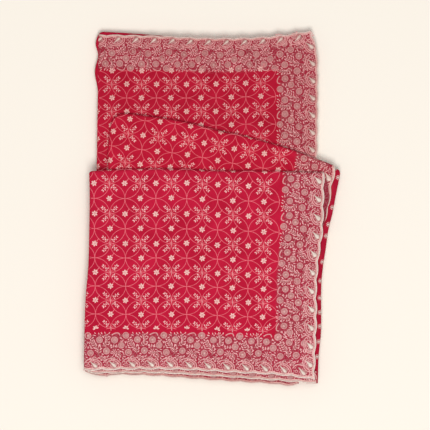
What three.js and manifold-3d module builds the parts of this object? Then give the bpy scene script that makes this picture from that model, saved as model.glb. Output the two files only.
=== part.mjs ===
// A saree folded flat: the cloth is folded into four across its width, then to and fro along its length, and
// lies on a table. The topmost stretch is folded down over a turned middle stretch, which lies on the upper
// stretch, and the plain blouse end shows under that.
// Every stretch that shows is a wall of cloth that rolls over at its folds and stops at its scalloped hems.
// The layers between them are one solid with layered edges, and each wall lies in a pocket of it.
// Millimetres, +Z up. The origin is under the middle of the folded saree, on the table, and +Y points to the
// end where the upper stretch shows.
import * as THREE from "three";
import Module from "manifold-3d";

const wasm = await Module();
wasm.setup();

// ---- Driving dimensions ----
const CLOTH = 1.2; // georgette with its embroidery
const DOUBLE_CLOTH = 2.7; // two hems that lie together
const GAP = 0.3; // between neighbouring pieces
const SCALLOP = { depth: 1.2, steps: 4 }; // one scallop for each cell along a hem
const ROLL_STEPS = 5; // facets round a fold
const HEM_REACH = 14; // how far a hem that peeks out reaches back under the stretch above it
const CREASE = 0.9; // depth of the groove between two folded layers
const STEP_BACK = [0.2, 1.3, 0.6, 1.8, 0, 1.0, 1.5, 0.4]; // how far each layer's edge lies back, by turns
const TURN_PER_SIDE = 3; // how many steps each side is ahead of the last one in that row
const MIDDLE_OF_LAYER = 0.5; // where between its two grooves a layer stands out furthest

// Heights of the top of each stretch above the table, before the stack is relaxed.
const TOP = {
  blouse: 12.4,
  upper: 13.9,
  thirdHem: 15.4,
  rightFold: 18.9,
  middle: 20.4,
  secondEdge: 23.4,
  secondHem: 25.0,
  front: 26.9,
};

// How a stretch rolls over at its folds: the outer radius, and how far round it goes.
const ALMOST_HALF = Math.PI * 0.94;
const FOLD = {
  blouse: { radius: 3.1, angle: ALMOST_HALF },
  upper: { radius: 1.3, angle: Math.PI / 2 },
  rightFold: { radius: 2.35, angle: ALMOST_HALF },
  middle: { radius: 3.1, angle: ALMOST_HALF },
  front: { radius: 2.9, angle: ALMOST_HALF },
};

// ---- Outlines: the four sides of each stretch as rows of x, y. Left and right sides run up, bottom and top
// sides run to the right, and neighbours share a corner. ----
const FRONT = {
  left: [
    [-154.2, -194.8], [-154.2, -170], [-152.6, -112], [-149, -66], [-147.8, -20], [-147.4, 15], [-148, 44.4],
  ],
  top: [[-148, 44.4], [-106, 46.6], [-40, 46.8], [0, 44.9], [70, 44.4], [134.4, 43]],
  right: [
    [122.6, -205.8], [123.8, -170], [125.2, -130], [124.9, -98], [127.6, -60], [132.4, -24], [134.4, 43],
  ],
  bottom: [
    [-154.2, -194.8], [-98, -193.2], [-60, -193], [-20, -194.2], [30, -197.2], [80, -200], [122.6, -205.8],
  ],
};
const MIDDLE = {
  left: [[-127, 24], [-125.6, 44], [-126, 64], [-124.8, 82], [-122.6, 99], [-118.2, 110.6]],
  top: [
    [-118.2, 110.6], [-104, 113.6], [-67, 109.4], [-30, 103], [8, 93.3], [47, 84.4], [101, 68.6], [148, 50.9],
  ],
  right: [
    [118, -44], [126.6, -30], [133.6, -18.8], [137.8, -7], [140.6, 5], [143.8, 27], [146.8, 40], [148, 50.9],
  ],
  bottom: [[-127, 24], [118, -44]],
};
const UPPER = {
  left: [[-139.8, 28], [-139.2, 70], [-138.6, 106], [-138, 150], [-137.6, 185], [-136.8, 209.2]],
  top: [
    [-136.8, 209.2], [-100, 208.6], [-60, 207.4], [-20, 205.6], [20, 205], [58, 206.4], [90, 209.6],
    [118.8, 214.2],
  ],
  right: [[126.6, 28], [126.6, 70], [127.2, 130], [127, 178], [125, 194], [118.8, 214.2]],
  bottom: [[-139.8, 28], [126.6, 28]],
};
const BLOUSE = {
  left: [[-140, 30], [-138, 70], [-137.6, 134], [-141.9, 164], [-138, 184], [-141, 199], [-136.2, 213.2]],
  top: [[-136.2, 213.2], [-100.8, 211.2], [-67, 208.6], [-30, 205], [20, 203.4], [70, 205], [112, 209]],
  right: [[112, 30], [112, 209]],
  bottom: [[-140, 30], [112, 30]],
};
const OUTER_RIGHT = [
  [126.8, -210.6], [127.8, -178], [130.7, -146], [130.8, -98], [132.6, -73], [136, -50], [139.4, -26],
  [144.4, -6], [147.8, 12], [151.4, 30], [154.2, 45.4],
];
const SECOND_RIGHT = [
  [118.5, -196], [121, -160], [123, -98], [125.4, -62], [130, -40], [138.2, 0], [140.6, 20], [134, 40],
];
const SECOND_BOTTOM = [
  [-150.4, -196.6], [-134, -198.2], [-74, -197.2], [-31, -199], [22, -202.4], [124.8, -210.4],
];
const THIRD_BOTTOM = [
  [-153.4, -197.6], [-140, -200.8], [-128, -203.4], [-118, -200.6], [-67, -202], [-10, -206.2], [37, -209.4],
  [70, -211.4], [91, -213.8], [104, -212],
];

// The strip that a hem shows of its stretch, from the hem's line back under the stretch above it.
const stripOf = (line, dx, dy) => line.map(([x, y]) => [x + dx, y + dy]);
const besideRight = (line) => ({
  left: stripOf(line, -HEM_REACH, 0),
  top: [stripOf(line, -HEM_REACH, 0).at(-1), line.at(-1)],
  right: line,
  bottom: [stripOf(line, -HEM_REACH, 0)[0], line[0]],
});
const aboveBottom = (line) => ({
  left: [line[0], stripOf(line, 0, HEM_REACH)[0]],
  top: stripOf(line, 0, HEM_REACH),
  right: [line.at(-1), stripOf(line, 0, HEM_REACH).at(-1)],
  bottom: line,
});

// ---- The relaxed stack: loose cloth is thinner at its corners and edges. A row is a place, its reach, and the
// share of the height that is lost there, or gained where it is below zero. ----
const SLACK = [
  { x: 160, y: 50, reach: 62, share: 0.24 }, // the middle stretch's free corner
  { x: 124, y: 218, reach: 70, share: 0.24 },
  { x: -144, y: 218, reach: 70, share: 0.2 },
  { x: 130, y: -216, reach: 70, share: 0.22 },
  { x: -160, y: -202, reach: 70, share: 0.18 },
  { x: -176, y: -80, reach: 60, share: 0.1 },
  { x: 156, y: -120, reach: 60, share: 0.12 },
  { x: -30, y: -60, reach: 60, share: -0.02 },
];
const slack = (x, y) =>
  SLACK.reduce((sum, s) => sum + s.share * Math.exp(-(((x - s.x) ** 2 + (y - s.y) ** 2) / s.reach ** 2)), 0);

// A geometry whose points are lowered by the slack at their place, so that the layers stay in order.
function relaxed(positions, index) {
  const lowered = positions.flatMap(([x, y, z]) => [x, y, z * (1 - slack(x, y))]);
  const geometry = new THREE.BufferGeometry();
  geometry.setAttribute("position", new THREE.Float32BufferAttribute(lowered, 3));
  return geometry.setIndex(index);
}

// ---- Sides and the space inside them ----
const curve = (rows) => new THREE.SplineCurve(rows.map(([x, y]) => new THREE.Vector2(x, y)));
const curvesOf = (outline) =>
  Object.fromEntries(Object.entries(outline).map(([side, rows]) => [side, curve(rows)]));
const TURN = { left: 1, top: 1, right: -1, bottom: -1 }; // which way the outward normal turns from a side's run
const ENDS = {
  left: ["bottom", "top"], right: ["bottom", "top"], bottom: ["left", "right"], top: ["left", "right"],
};
const FAR_END = { left: 0, bottom: 0, right: 1, top: 1 }; // where along a neighbour this side meets it

function outward(curves, side, at) {
  const run = curves[side].getTangentAt(at);
  return new THREE.Vector2(-run.y * TURN[side], run.x * TURN[side]);
}

// The point of a side after every side has been taken in by its own inset.
function insetPoint(curves, inset, side, at) {
  const [first, last] = ENDS[side];
  return curves[side]
    .getPointAt(at)
    .addScaledVector(outward(curves, side, at), -(inset[side] ?? 0))
    .addScaledVector(outward(curves, first, FAR_END[side]), -(1 - at) * (inset[first] ?? 0))
    .addScaledVector(outward(curves, last, FAR_END[side]), -at * (inset[last] ?? 0));
}

// The point inside the four sides at s across and t up.
function inside(curves, inset, s, t) {
  const side = (name, at) => insetPoint(curves, inset, name, at);
  return new THREE.Vector2()
    .addScaledVector(side("left", t), 1 - s)
    .addScaledVector(side("right", t), s)
    .addScaledVector(side("bottom", s), 1 - t)
    .addScaledVector(side("top", s), t)
    .addScaledVector(side("bottom", 0), -(1 - s) * (1 - t))
    .addScaledVector(side("bottom", 1), -s * (1 - t))
    .addScaledVector(side("top", 0), -(1 - s) * t)
    .addScaledVector(side("top", 1), -s * t);
}

// ---- Walls of cloth ----
// How far out and down a fold has got at a distance along the cloth, for a face that lies this deep in it.
function rolled({ radius, angle }, distance, depth) {
  const turned = Math.min(distance / radius, angle);
  const past = distance - turned * radius;
  return {
    out: (radius - depth) * Math.sin(turned) + past * Math.cos(turned),
    down: depth + (radius - depth) * (1 - Math.cos(turned)) + past * Math.sin(turned),
  };
}

/**
 * One stretch of cloth as a closed wall. Its flat part fills the outline at the height top. It rolls over the
 * sides that folds names, and the sides that hems names are scalloped, one scallop for each cell. A wall that
 * is grown is larger all round, to cut the pocket that it lies in.
 */
function stretch({ outline, top, thickness = CLOTH, fold, folds = [], hems = [], columns, rows }, grow = 0) {
  const curves = curvesOf(outline);
  const insetOf = (side) => (folds.includes(side) ? fold.radius : -grow);
  const inset = Object.fromEntries(Object.keys(outline).map((side) => [side, insetOf(side)]));
  const rings = folds.length ? ROLL_STEPS : 0;
  const before = folds.includes("left") ? rings : 0;
  const after = folds.includes("right") ? rings : 0;
  const above = folds.includes("top") ? rings : 0;
  const scalloped = grow ? [] : hems;
  const faces = [-grow, thickness + grow];

  // A place on the flat part, at column i and row j, which may be part of the way along a hem's cell.
  function flatPoint(i, j, depth) {
    const [s, t] = [i / columns, j / rows];
    const p = inside(curves, inset, s, t);
    const onHem = { right: i === columns, top: j === rows, bottom: j === 0 };
    for (const side of scalloped.filter((name) => onHem[name])) {
      const along = side === "right" ? j : i;
      const lobe = Math.sin(Math.PI * (along - Math.floor(along)));
      p.addScaledVector(outward(curves, side, side === "right" ? t : s), -SCALLOP.depth * (1 - lobe));
    }
    return [p.x, p.y, top - depth];
  }

  // A place past a fold. Where two folds meet, the rings go round the corner from one normal to the other.
  function foldPoint(i, j, depth) {
    const [s, t] = [THREE.MathUtils.clamp(i / columns, 0, 1), Math.min(j / rows, 1)];
    const sideways = i < 0 ? -i : Math.max(i - columns, 0);
    const upwards = Math.max(j - rows, 0);
    const ring = Math.max(sideways, upwards);
    const share = sideways >= upwards ? upwards / ring / 2 : 1 - sideways / ring / 2;
    const distance = (ring / rings) * fold.angle * fold.radius + (ring === rings ? grow : 0);
    const { out, down } = rolled(fold, distance, depth);
    const p = inside(curves, inset, s, t);
    const turn = (share * Math.PI) / 2;
    if (sideways) p.addScaledVector(outward(curves, i < 0 ? "left" : "right", t), out * Math.cos(turn));
    if (upwards) p.addScaledVector(outward(curves, "top", s), out * Math.sin(turn));
    return [p.x, p.y, top - down];
  }

  // Cells as loops of corners, with a scalloped hem's own points between them. A loop is fanned from its first
  // corner, the one that is furthest from the hems.
  const between = (side, on) => {
    const steps = on && scalloped.includes(side) ? SCALLOP.steps : 1;
    return Array.from({ length: steps }, (_, k) => k / steps);
  };
  const cells = [];
  for (let i = -before; i < columns + after; i++) {
    for (let j = 0; j < rows + above; j++) {
      const loop = [
        ...between("bottom", j === 0 && i >= 0).map((f) => [i + f, j]),
        ...between("right", i === columns - 1 && j < rows).map((f) => [i + 1, j + f]),
        ...between("top", j === rows - 1 && i >= 0).map((f) => [i + 1 - f, j + 1]),
        [i, j + 1],
      ];
      const apex = hems.includes("top") ? 0 : loop.length - 1;
      cells.push([...loop.slice(apex), ...loop.slice(0, apex)]);
    }
  }

  const numbers = new Map();
  const positions = [];
  function vertex([i, j], depth) {
    const key = `${i} ${j} ${depth}`;
    if (!numbers.has(key)) {
      const flat = i >= 0 && i <= columns && j <= rows;
      numbers.set(key, positions.length);
      positions.push(flat ? flatPoint(i, j, depth) : foldPoint(i, j, depth));
    }
    return numbers.get(key);
  }
  const index = [];
  const rim = new Map(); // edges that no neighbouring cell shares
  for (const loop of cells) {
    for (let k = 1; k < loop.length - 1; k++) {
      const [a, b, c] = [loop[0], loop[k], loop[k + 1]];
      index.push(...[a, b, c].map((corner) => vertex(corner, faces[0])));
      index.push(...[c, b, a].map((corner) => vertex(corner, faces[1])));
    }
    loop.forEach((corner, k) => {
      const next = loop[(k + 1) % loop.length];
      const [a, b] = [vertex(corner, faces[0]), vertex(next, faces[0])];
      const [c, d] = [vertex(corner, faces[1]), vertex(next, faces[1])];
      if (!rim.delete(`${b} ${a}`)) rim.set(`${a} ${b}`, [a, b, c, d]);
    });
  }
  for (const [a, b, c, d] of rim.values()) index.push(a, c, b, b, c, d);
  return relaxed(positions, index);
}

// ---- The layers inside ----
// The levels of a pile of folded layers: a groove between each two, and each edge stepped back by its own
// amount.
function layered({ from, to, count, insets = {}, phase = 0 }) {
  const height = (to - from) / count;
  const sides = Object.keys(TURN);
  const turn = (k, side) => (k + phase + sides.indexOf(side) * TURN_PER_SIDE) % STEP_BACK.length;
  const inset = (k, side, groove) => (insets[side] ?? 0) + STEP_BACK[turn(k, side)] + groove;
  const insetsOf = (k, groove) => Object.fromEntries(sides.map((side) => [side, inset(k, side, groove)]));
  const level = (z, k, groove) => ({ z, ...insetsOf(k, groove) });
  const levels = [level(from, 0, CREASE)];
  for (let k = 0; k < count; k++) {
    levels.push(level(from + (k + MIDDLE_OF_LAYER) * height, k, 0), level(from + (k + 1) * height, k, CREASE));
  }
  return levels;
}

// A pile of layers as a closed solid: a ring of points at each level, and a grid of cells below and above.
function pile({ outline, levels, columns, rows }) {
  const curves = curvesOf(outline);
  const width = columns + 1;
  const perLevel = width * (rows + 1);
  const positions = levels.flatMap(({ z, ...inset }) =>
    Array.from({ length: perLevel }, (_, n) => {
      const p = inside(curves, inset, (n % width) / columns, Math.floor(n / width) / rows);
      return [p.x, p.y, z];
    }));
  const at = (level, i, j) => level * perLevel + j * width + i;
  const border = [
    ...Array.from({ length: columns }, (_, k) => [k, 0]),
    ...Array.from({ length: rows }, (_, k) => [columns, k]),
    ...Array.from({ length: columns }, (_, k) => [columns - k, rows]),
    ...Array.from({ length: rows }, (_, k) => [0, rows - k]),
  ];
  const index = [];
  const quad = (a, b, c, d) => index.push(a, b, c, a, c, d);
  const last = levels.length - 1;
  for (let i = 0; i < columns; i++) {
    for (let j = 0; j < rows; j++) {
      quad(at(0, i, j), at(0, i, j + 1), at(0, i + 1, j + 1), at(0, i + 1, j));
      quad(at(last, i, j), at(last, i + 1, j), at(last, i + 1, j + 1), at(last, i, j + 1));
    }
  }
  for (let level = 0; level < last; level++) {
    border.forEach((a, k) => {
      const b = border[(k + 1) % border.length];
      quad(at(level, ...a), at(level, ...b), at(level + 1, ...b), at(level + 1, ...a));
    });
  }
  return withoutLoosePoints(relaxed(positions, index));
}

// A geometry that keeps only the points that its faces use.
function withoutLoosePoints(geometry) {
  const source = geometry.attributes.position.array;
  const numbers = new Map();
  const index = Array.from(geometry.index.array, (n) => {
    if (!numbers.has(n)) numbers.set(n, numbers.size);
    return numbers.get(n);
  });
  const positions = [...numbers.keys()].flatMap((n) => [source[3 * n], source[3 * n + 1], source[3 * n + 2]]);
  const tidy = new THREE.BufferGeometry();
  tidy.setAttribute("position", new THREE.Float32BufferAttribute(positions, 3));
  return tidy.setIndex(index);
}

const solidOf = (geometry) =>
  new wasm.Manifold(new wasm.Mesh({
    numProp: 3,
    vertProperties: geometry.attributes.position.array,
    triVerts: new Uint32Array(geometry.index.array),
  }));

function geometryOf(solid) {
  const { vertProperties, triVerts } = solid.getMesh();
  const geometry = new THREE.BufferGeometry();
  geometry.setAttribute("position", new THREE.BufferAttribute(vertProperties, 3));
  return geometry.setIndex(new THREE.BufferAttribute(triVerts, 1));
}

// ---- The stretches that show ----
const STRETCHES = {
  front_stretch: {
    outline: FRONT, top: TOP.front, fold: FOLD.front, folds: ["left", "top"], hems: ["right", "bottom"],
    columns: 12, rows: 11,
  },
  second_hem_stretch: {
    outline: aboveBottom(SECOND_BOTTOM), top: TOP.secondHem, hems: ["bottom"],
    columns: 12, rows: 1,
  },
  second_edge_stretch: {
    outline: besideRight(SECOND_RIGHT), top: TOP.secondEdge, hems: ["right"],
    columns: 1, rows: 10,
  },
  middle_stretch: {
    outline: MIDDLE, top: TOP.middle, fold: FOLD.middle, folds: ["left", "top"], hems: ["right"],
    columns: 12, rows: 4,
  },
  right_fold_stretch: {
    outline: besideRight(OUTER_RIGHT), top: TOP.rightFold, fold: FOLD.rightFold, folds: ["right"],
    columns: 1, rows: 12,
  },
  third_hem_stretch: {
    outline: aboveBottom(THIRD_BOTTOM), top: TOP.thirdHem, thickness: DOUBLE_CLOTH, hems: ["bottom"],
    columns: 11, rows: 1,
  },
  upper_stretch: {
    outline: UPPER, top: TOP.upper, fold: FOLD.upper, folds: ["left"], hems: ["top", "right"],
    columns: 12, rows: 8,
  },
  blouse_stretch: {
    outline: BLOUSE, top: TOP.blouse, fold: FOLD.blouse, folds: ["left", "top"],
    columns: 9, rows: 9,
  },
};

// ---- The piles of layers under them ----
const UPPER_PILE = {
  outline: {
    left: [[-138, -6], [-138, 30], [-136, 106], [-135.6, 134], [-136.4, 164], [-135.4, 187], [-133.6, 207.6]],
    top: [[-133.6, 207.6], [-100, 207], [-60, 205], [0, 202], [58, 203.6], [115.6, 208.6]],
    right: [[119, -6], [124.6, 30], [125.4, 66], [125.6, 130], [124.6, 180], [115.6, 208.6]],
    bottom: [[-138, -6], [119, -6]],
  },
  levels: layered({ from: 0, to: 11.9, count: 5 }),
  columns: 9,
  rows: 8,
};
const LOWER_PILE = {
  outline: {
    left: [[-152, -194], [-151, -112], [-147.4, -66], [-146, -20], [-145.4, 20]],
    top: [[-145.4, 20], [0, 24], [120, 38], [148.6, 42.6]],
    right: [
      [124.8, -207.6], [126, -178], [128.6, -146], [128.8, -98], [134, -50], [142, -6], [145.6, 12],
      [148.6, 42.6],
    ],
    bottom: [[-152, -194], [-128, -198.6], [-60, -198.6], [30, -203.6], [90, -208.4], [124.8, -207.6]],
  },
  levels: layered({ from: 0, to: 19, count: 7, phase: 2 }),
  columns: 9,
  rows: 8,
};
const FOOT = { left: 8, top: 8, right: 2, bottom: 0 }; // where the middle pile stands, clear of its fold
const MIDDLE_PILE = {
  outline: {
    left: [[-122.6, -30], [-124.4, 44], [-124.4, 64], [-123.4, 82], [-121, 98], [-116.6, 108.2]],
    top: [[-116.6, 108.2], [-67, 107.4], [-30, 101], [8, 91.3], [47, 82.4], [101, 66.6], [142, 51]],
    right: [[134, -30], [141, -4], [146, 14], [149, 32], [142, 51]],
    bottom: [[-122.6, -30], [134, -30]],
  },
  levels: [
    { z: 13.2, ...FOOT },
    { z: 14.9, ...FOOT },
    ...layered({ from: 15, to: 19, count: 2, phase: 5 }),
  ],
  columns: 9,
  rows: 5,
};
const NECK = { left: 4.5, top: 92, right: 16, bottom: 6 }; // where the front pile stands on the lower one
const FRONT_PILE = {
  outline: FRONT,
  levels: [
    { z: 18.5, ...NECK },
    { z: 20.6, ...NECK },
    ...layered({ from: 20.7, to: 25.4, count: 2, insets: { left: 1.6, top: 1.6, right: 2, bottom: 2 } }),
  ],
  columns: 9,
  rows: 9,
};

// Joins the piles and cuts the pocket of each stretch out of them.
function hiddenLayers() {
  const piles = [UPPER_PILE, LOWER_PILE, MIDDLE_PILE, FRONT_PILE].map((each) => solidOf(pile(each)));
  const pockets = Object.values(STRETCHES).map((each) => solidOf(stretch(each, GAP)));
  const joined = piles.reduce((all, each) => all.add(each));
  return geometryOf(pockets.reduce((all, each) => all.subtract(each), joined));
}

// ---- The saree ----
const CRIMSON = { color: 0xc4103a, roughness: 0.82, metalness: 0 };
const PLAIN_RED = { color: 0xcc0a36, roughness: 0.78, metalness: 0 };
const SHADED_RED = { color: 0x9e1530, roughness: 0.88, metalness: 0 };

function piece(name, geometry, look) {
  const mesh = new THREE.Mesh(geometry, new THREE.MeshStandardMaterial(look));
  mesh.name = name;
  return mesh;
}

const saree = new THREE.Group();
for (const [name, sizes] of Object.entries(STRETCHES)) {
  saree.add(piece(name, stretch(sizes), name === "blouse_stretch" ? PLAIN_RED : CRIMSON));
}
saree.add(piece("hidden_layers", hiddenLayers(), SHADED_RED));

export default saree;
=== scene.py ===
"""A crimson saree folded flat on a table: embroidered lattice, floral borders and corded scalloped hems.

Every stretch of cloth is a thin shell that rolls over at its folds. Embroidery is laid out flat, in
millimetres on the cloth, and then draped over the stretch that it is sewn to. Everything rides on the
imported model's one body.
"""
import logging
import math
from dataclasses import dataclass, field, replace
from enum import Enum

import bpy
import numpy as np
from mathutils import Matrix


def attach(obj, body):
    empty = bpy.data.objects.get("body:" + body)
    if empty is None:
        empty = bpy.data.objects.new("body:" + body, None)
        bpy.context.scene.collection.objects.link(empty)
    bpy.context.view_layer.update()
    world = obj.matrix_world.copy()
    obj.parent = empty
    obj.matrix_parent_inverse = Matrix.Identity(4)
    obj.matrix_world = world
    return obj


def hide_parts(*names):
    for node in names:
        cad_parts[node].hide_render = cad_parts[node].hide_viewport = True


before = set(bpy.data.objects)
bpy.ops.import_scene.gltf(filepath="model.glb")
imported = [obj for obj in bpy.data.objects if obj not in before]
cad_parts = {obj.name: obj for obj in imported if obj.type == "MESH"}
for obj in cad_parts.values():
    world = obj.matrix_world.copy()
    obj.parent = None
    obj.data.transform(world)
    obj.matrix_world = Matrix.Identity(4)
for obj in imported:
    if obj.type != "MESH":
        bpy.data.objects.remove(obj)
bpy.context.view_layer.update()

MM = 0.001
BODY = "root"
log = logging.getLogger("saree")

Rows = list[tuple[float, float]]
Colour = tuple[float, float, float]
BARE: Colour = (1.0, 1.0, 1.0)  # the shade of what is fully lit


class Side(Enum):
    """The four sides of a stretch; left and right run up, bottom and top run to the right."""

    LEFT = "left"
    RIGHT = "right"
    BOTTOM = "bottom"
    TOP = "top"


# which way a side's direction turns to point outwards, and the sides that shares are counted from
OUTWARD_TURN = {Side.LEFT: 1.0, Side.TOP: 1.0, Side.RIGHT: -1.0, Side.BOTTOM: -1.0}
UPRIGHT = (Side.LEFT, Side.RIGHT)
STARTS = (Side.LEFT, Side.BOTTOM)


# ---- The relaxed stack ----
@dataclass(frozen=True)
class Slack:
    """A place where the loose stack is thinner, or thicker where share is below zero; millimetres."""

    x: float
    y: float
    reach: float
    share: float


SLACK = (
    Slack(160, 50, 62, 0.24),
    Slack(124, 218, 70, 0.24),
    Slack(-144, 218, 70, 0.20),
    Slack(130, -216, 70, 0.22),
    Slack(-160, -202, 70, 0.18),
    Slack(-176, -80, 60, 0.10),
    Slack(156, -120, 60, 0.12),
    Slack(-30, -60, 60, -0.02),
)


def slack_at(x: np.ndarray, y: np.ndarray) -> np.ndarray:
    """Give the share of the stack's height that is lost at places in millimetres."""
    return sum(s.share * np.exp(-((x - s.x) ** 2 + (y - s.y) ** 2) / s.reach**2) for s in SLACK)


# ---- Lines and outlines ----
class Line:
    """A smooth line through a few points, walked by its length."""

    STEPS = 24  # between two of its points
    PARTS = 200  # a direction is taken over one such part of the length, to each side

    def __init__(self, rows: Rows) -> None:
        """Lay the line through its points.

        Args:
            rows: The points that it passes, in millimetres.
        """
        p = np.array(rows, float)
        t = np.linspace(0, 1, self.STEPS, endpoint=False)[:, None]
        spans = []
        for k in range(len(p) - 1):
            before, a, b, after = p[max(k - 1, 0)], p[k], p[k + 1], p[min(k + 2, len(p) - 1)]
            u, v = (b - before) / 2, (after - a) / 2
            spans.append((2 * a - 2 * b + u + v) * t**3 + (3 * b - 3 * a - 2 * u - v) * t**2 + u * t + a)
        self.points = np.vstack([*spans, p[-1:]])
        self.walked = np.concatenate([[0], np.cumsum(np.linalg.norm(np.diff(self.points, axis=0), axis=1))])
        self.length = float(self.walked[-1])

    def walk(self, d: np.ndarray) -> np.ndarray:
        """Give the points at distances d along the line."""
        return np.stack([np.interp(d, self.walked, self.points[:, k]) for k in (0, 1)], -1)

    def place(self, u: np.ndarray) -> np.ndarray:
        """Give points of the line, and past its ends in a straight line.

        Args:
            u: The shares of its length that they are at.

        Returns:
            The points.
        """
        u = np.asarray(u, float)
        within = np.clip(u, 0, 1)
        return self.walk(within * self.length) + self.run(u) * ((u - within) * self.length)[..., None]

    def run(self, u: np.ndarray) -> np.ndarray:
        """Give the line's directions.

        Args:
            u: The shares of its length that they are taken at.

        Returns:
            The unit directions.
        """
        d = np.clip(np.asarray(u, float), 0, 1) * self.length
        step = self.length / self.PARTS
        run = self.walk(np.clip(d + step, 0, self.length)) - self.walk(np.clip(d - step, 0, self.length))
        return run / np.linalg.norm(run, axis=-1, keepdims=True)


def outward_of(side: Side, run: np.ndarray) -> np.ndarray:
    """Give a side's outward unit normals from its directions."""
    turn = OUTWARD_TURN[side]
    return np.stack([-run[..., 1] * turn, run[..., 0] * turn], -1)


def shifted(rows: Rows, dx: float, dy: float) -> Rows:
    """Move the points of a line."""
    return [(x + dx, y + dy) for x, y in rows]


def beside_right(line: Rows, reach: float) -> dict[Side, Rows]:
    """Make the outline of a strip that reaches left from a right-hand edge.

    Args:
        line: The edge.
        reach: How far the strip reaches from it.

    Returns:
        The outline.
    """
    inner = shifted(line, -reach, 0)
    ends = [[a, b] for a, b in ((inner[0], line[0]), (inner[-1], line[-1]))]
    return {Side.LEFT: inner, Side.RIGHT: line, Side.BOTTOM: ends[0], Side.TOP: ends[1]}


def above_bottom(line: Rows, reach: float) -> dict[Side, Rows]:
    """Make the outline of a strip that reaches up from a bottom edge.

    Args:
        line: The edge.
        reach: How far the strip reaches from it.

    Returns:
        The outline.
    """
    inner = shifted(line, 0, reach)
    ends = [[a, b] for a, b in ((line[0], inner[0]), (line[-1], inner[-1]))]
    return {Side.LEFT: ends[0], Side.RIGHT: ends[1], Side.BOTTOM: line, Side.TOP: inner}


# ---- Meshes ----
FLAT_PLACES = "flat_cloth"  # the UV map with each point's place on the flat cloth
# where a point is worked the finish flecks it with filling stitches and darkens it with painted shade between
# the stitches
WORKED = "worked"  # the attribute that says how densely each point is worked


def add_mesh(name: str, points: np.ndarray, faces: list, uv: np.ndarray | None = None) -> bpy.types.Object:
    """Make an object from points in millimetres.

    Args:
        name: The piece's name.
        points: Its points, in millimetres.
        faces: Its faces, as lists of point numbers.
        uv: For each point, its place on the flat cloth in metres, or None.

    Returns:
        The new object, at the origin.
    """
    mesh = bpy.data.meshes.new(name)
    mesh.from_pydata((points * MM).tolist(), [], faces)
    if uv is not None:
        corners = np.empty(len(mesh.loops), dtype=np.int32)
        mesh.loops.foreach_get("vertex_index", corners)
        layer = mesh.uv_layers.new(name=FLAT_PLACES)
        layer.data.foreach_set("uv", uv[corners].astype(np.float32).ravel())
    mesh.validate()
    mesh.update()
    obj = bpy.data.objects.new(name, mesh)
    bpy.context.scene.collection.objects.link(obj)
    return obj


def select_only(obj: bpy.types.Object) -> None:
    """Select one object and nothing else, and make it the active one.

    Args:
        obj: The object.
    """
    bpy.ops.object.select_all(action="DESELECT")
    obj.select_set(True)
    bpy.context.view_layer.objects.active = obj


def smooth(obj: bpy.types.Object, angle: float = 50.0) -> None:
    """Shade an object smooth, but for its sharp edges.

    Args:
        obj: The object.
        angle: The angle from which an edge is sharp, in degrees.
    """
    select_only(obj)
    bpy.ops.object.shade_smooth_by_angle(angle=math.radians(angle))
    obj.select_set(False)


# ---- Stretches of cloth ----
@dataclass(frozen=True)
class Crease:
    """A soft ridge, or a trough where height is below zero, from one place to another; millimetres."""

    x0: float
    y0: float
    x1: float
    y1: float
    width: float
    height: float

    ENDS = 0.35  # the height at its ends against its middle

    def lift(self, x: np.ndarray, y: np.ndarray) -> np.ndarray:
        """Give how far the cloth is lifted, fading towards the crease's ends.

        Args:
            x: Places across, in millimetres.
            y: Places along, in millimetres.

        Returns:
            The lift at each place.
        """
        dx, dy = self.x1 - self.x0, self.y1 - self.y0
        length = math.hypot(dx, dy)
        along = ((x - self.x0) * dx + (y - self.y0) * dy) / length
        aside = ((x - self.x0) * dy - (y - self.y0) * dx) / length
        share = np.clip(along / length, 0, 1)
        past = along - share * length
        fade = self.ENDS + (1 - self.ENDS) * np.sin(math.pi * share)
        return self.height * fade * np.exp(-((aside / self.width) ** 2) - (past / (2 * self.width)) ** 2)


PUCKERS = ((46, 2.2), (38, 1.8), (27, 1.2), (21, 1.0), (15, 0.7), (12, 0.6))  # waves' lengths and strengths
ON_HEM = 0.3  # how far past a hem a stitch may lie
FOLD_ROWS = 8  # of the mesh, round a fold
HEM_FADE = 5.0  # how far inside a hem its scallops still move the mesh
SCALLOP = 22.7  # the usual length of a scallop


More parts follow.
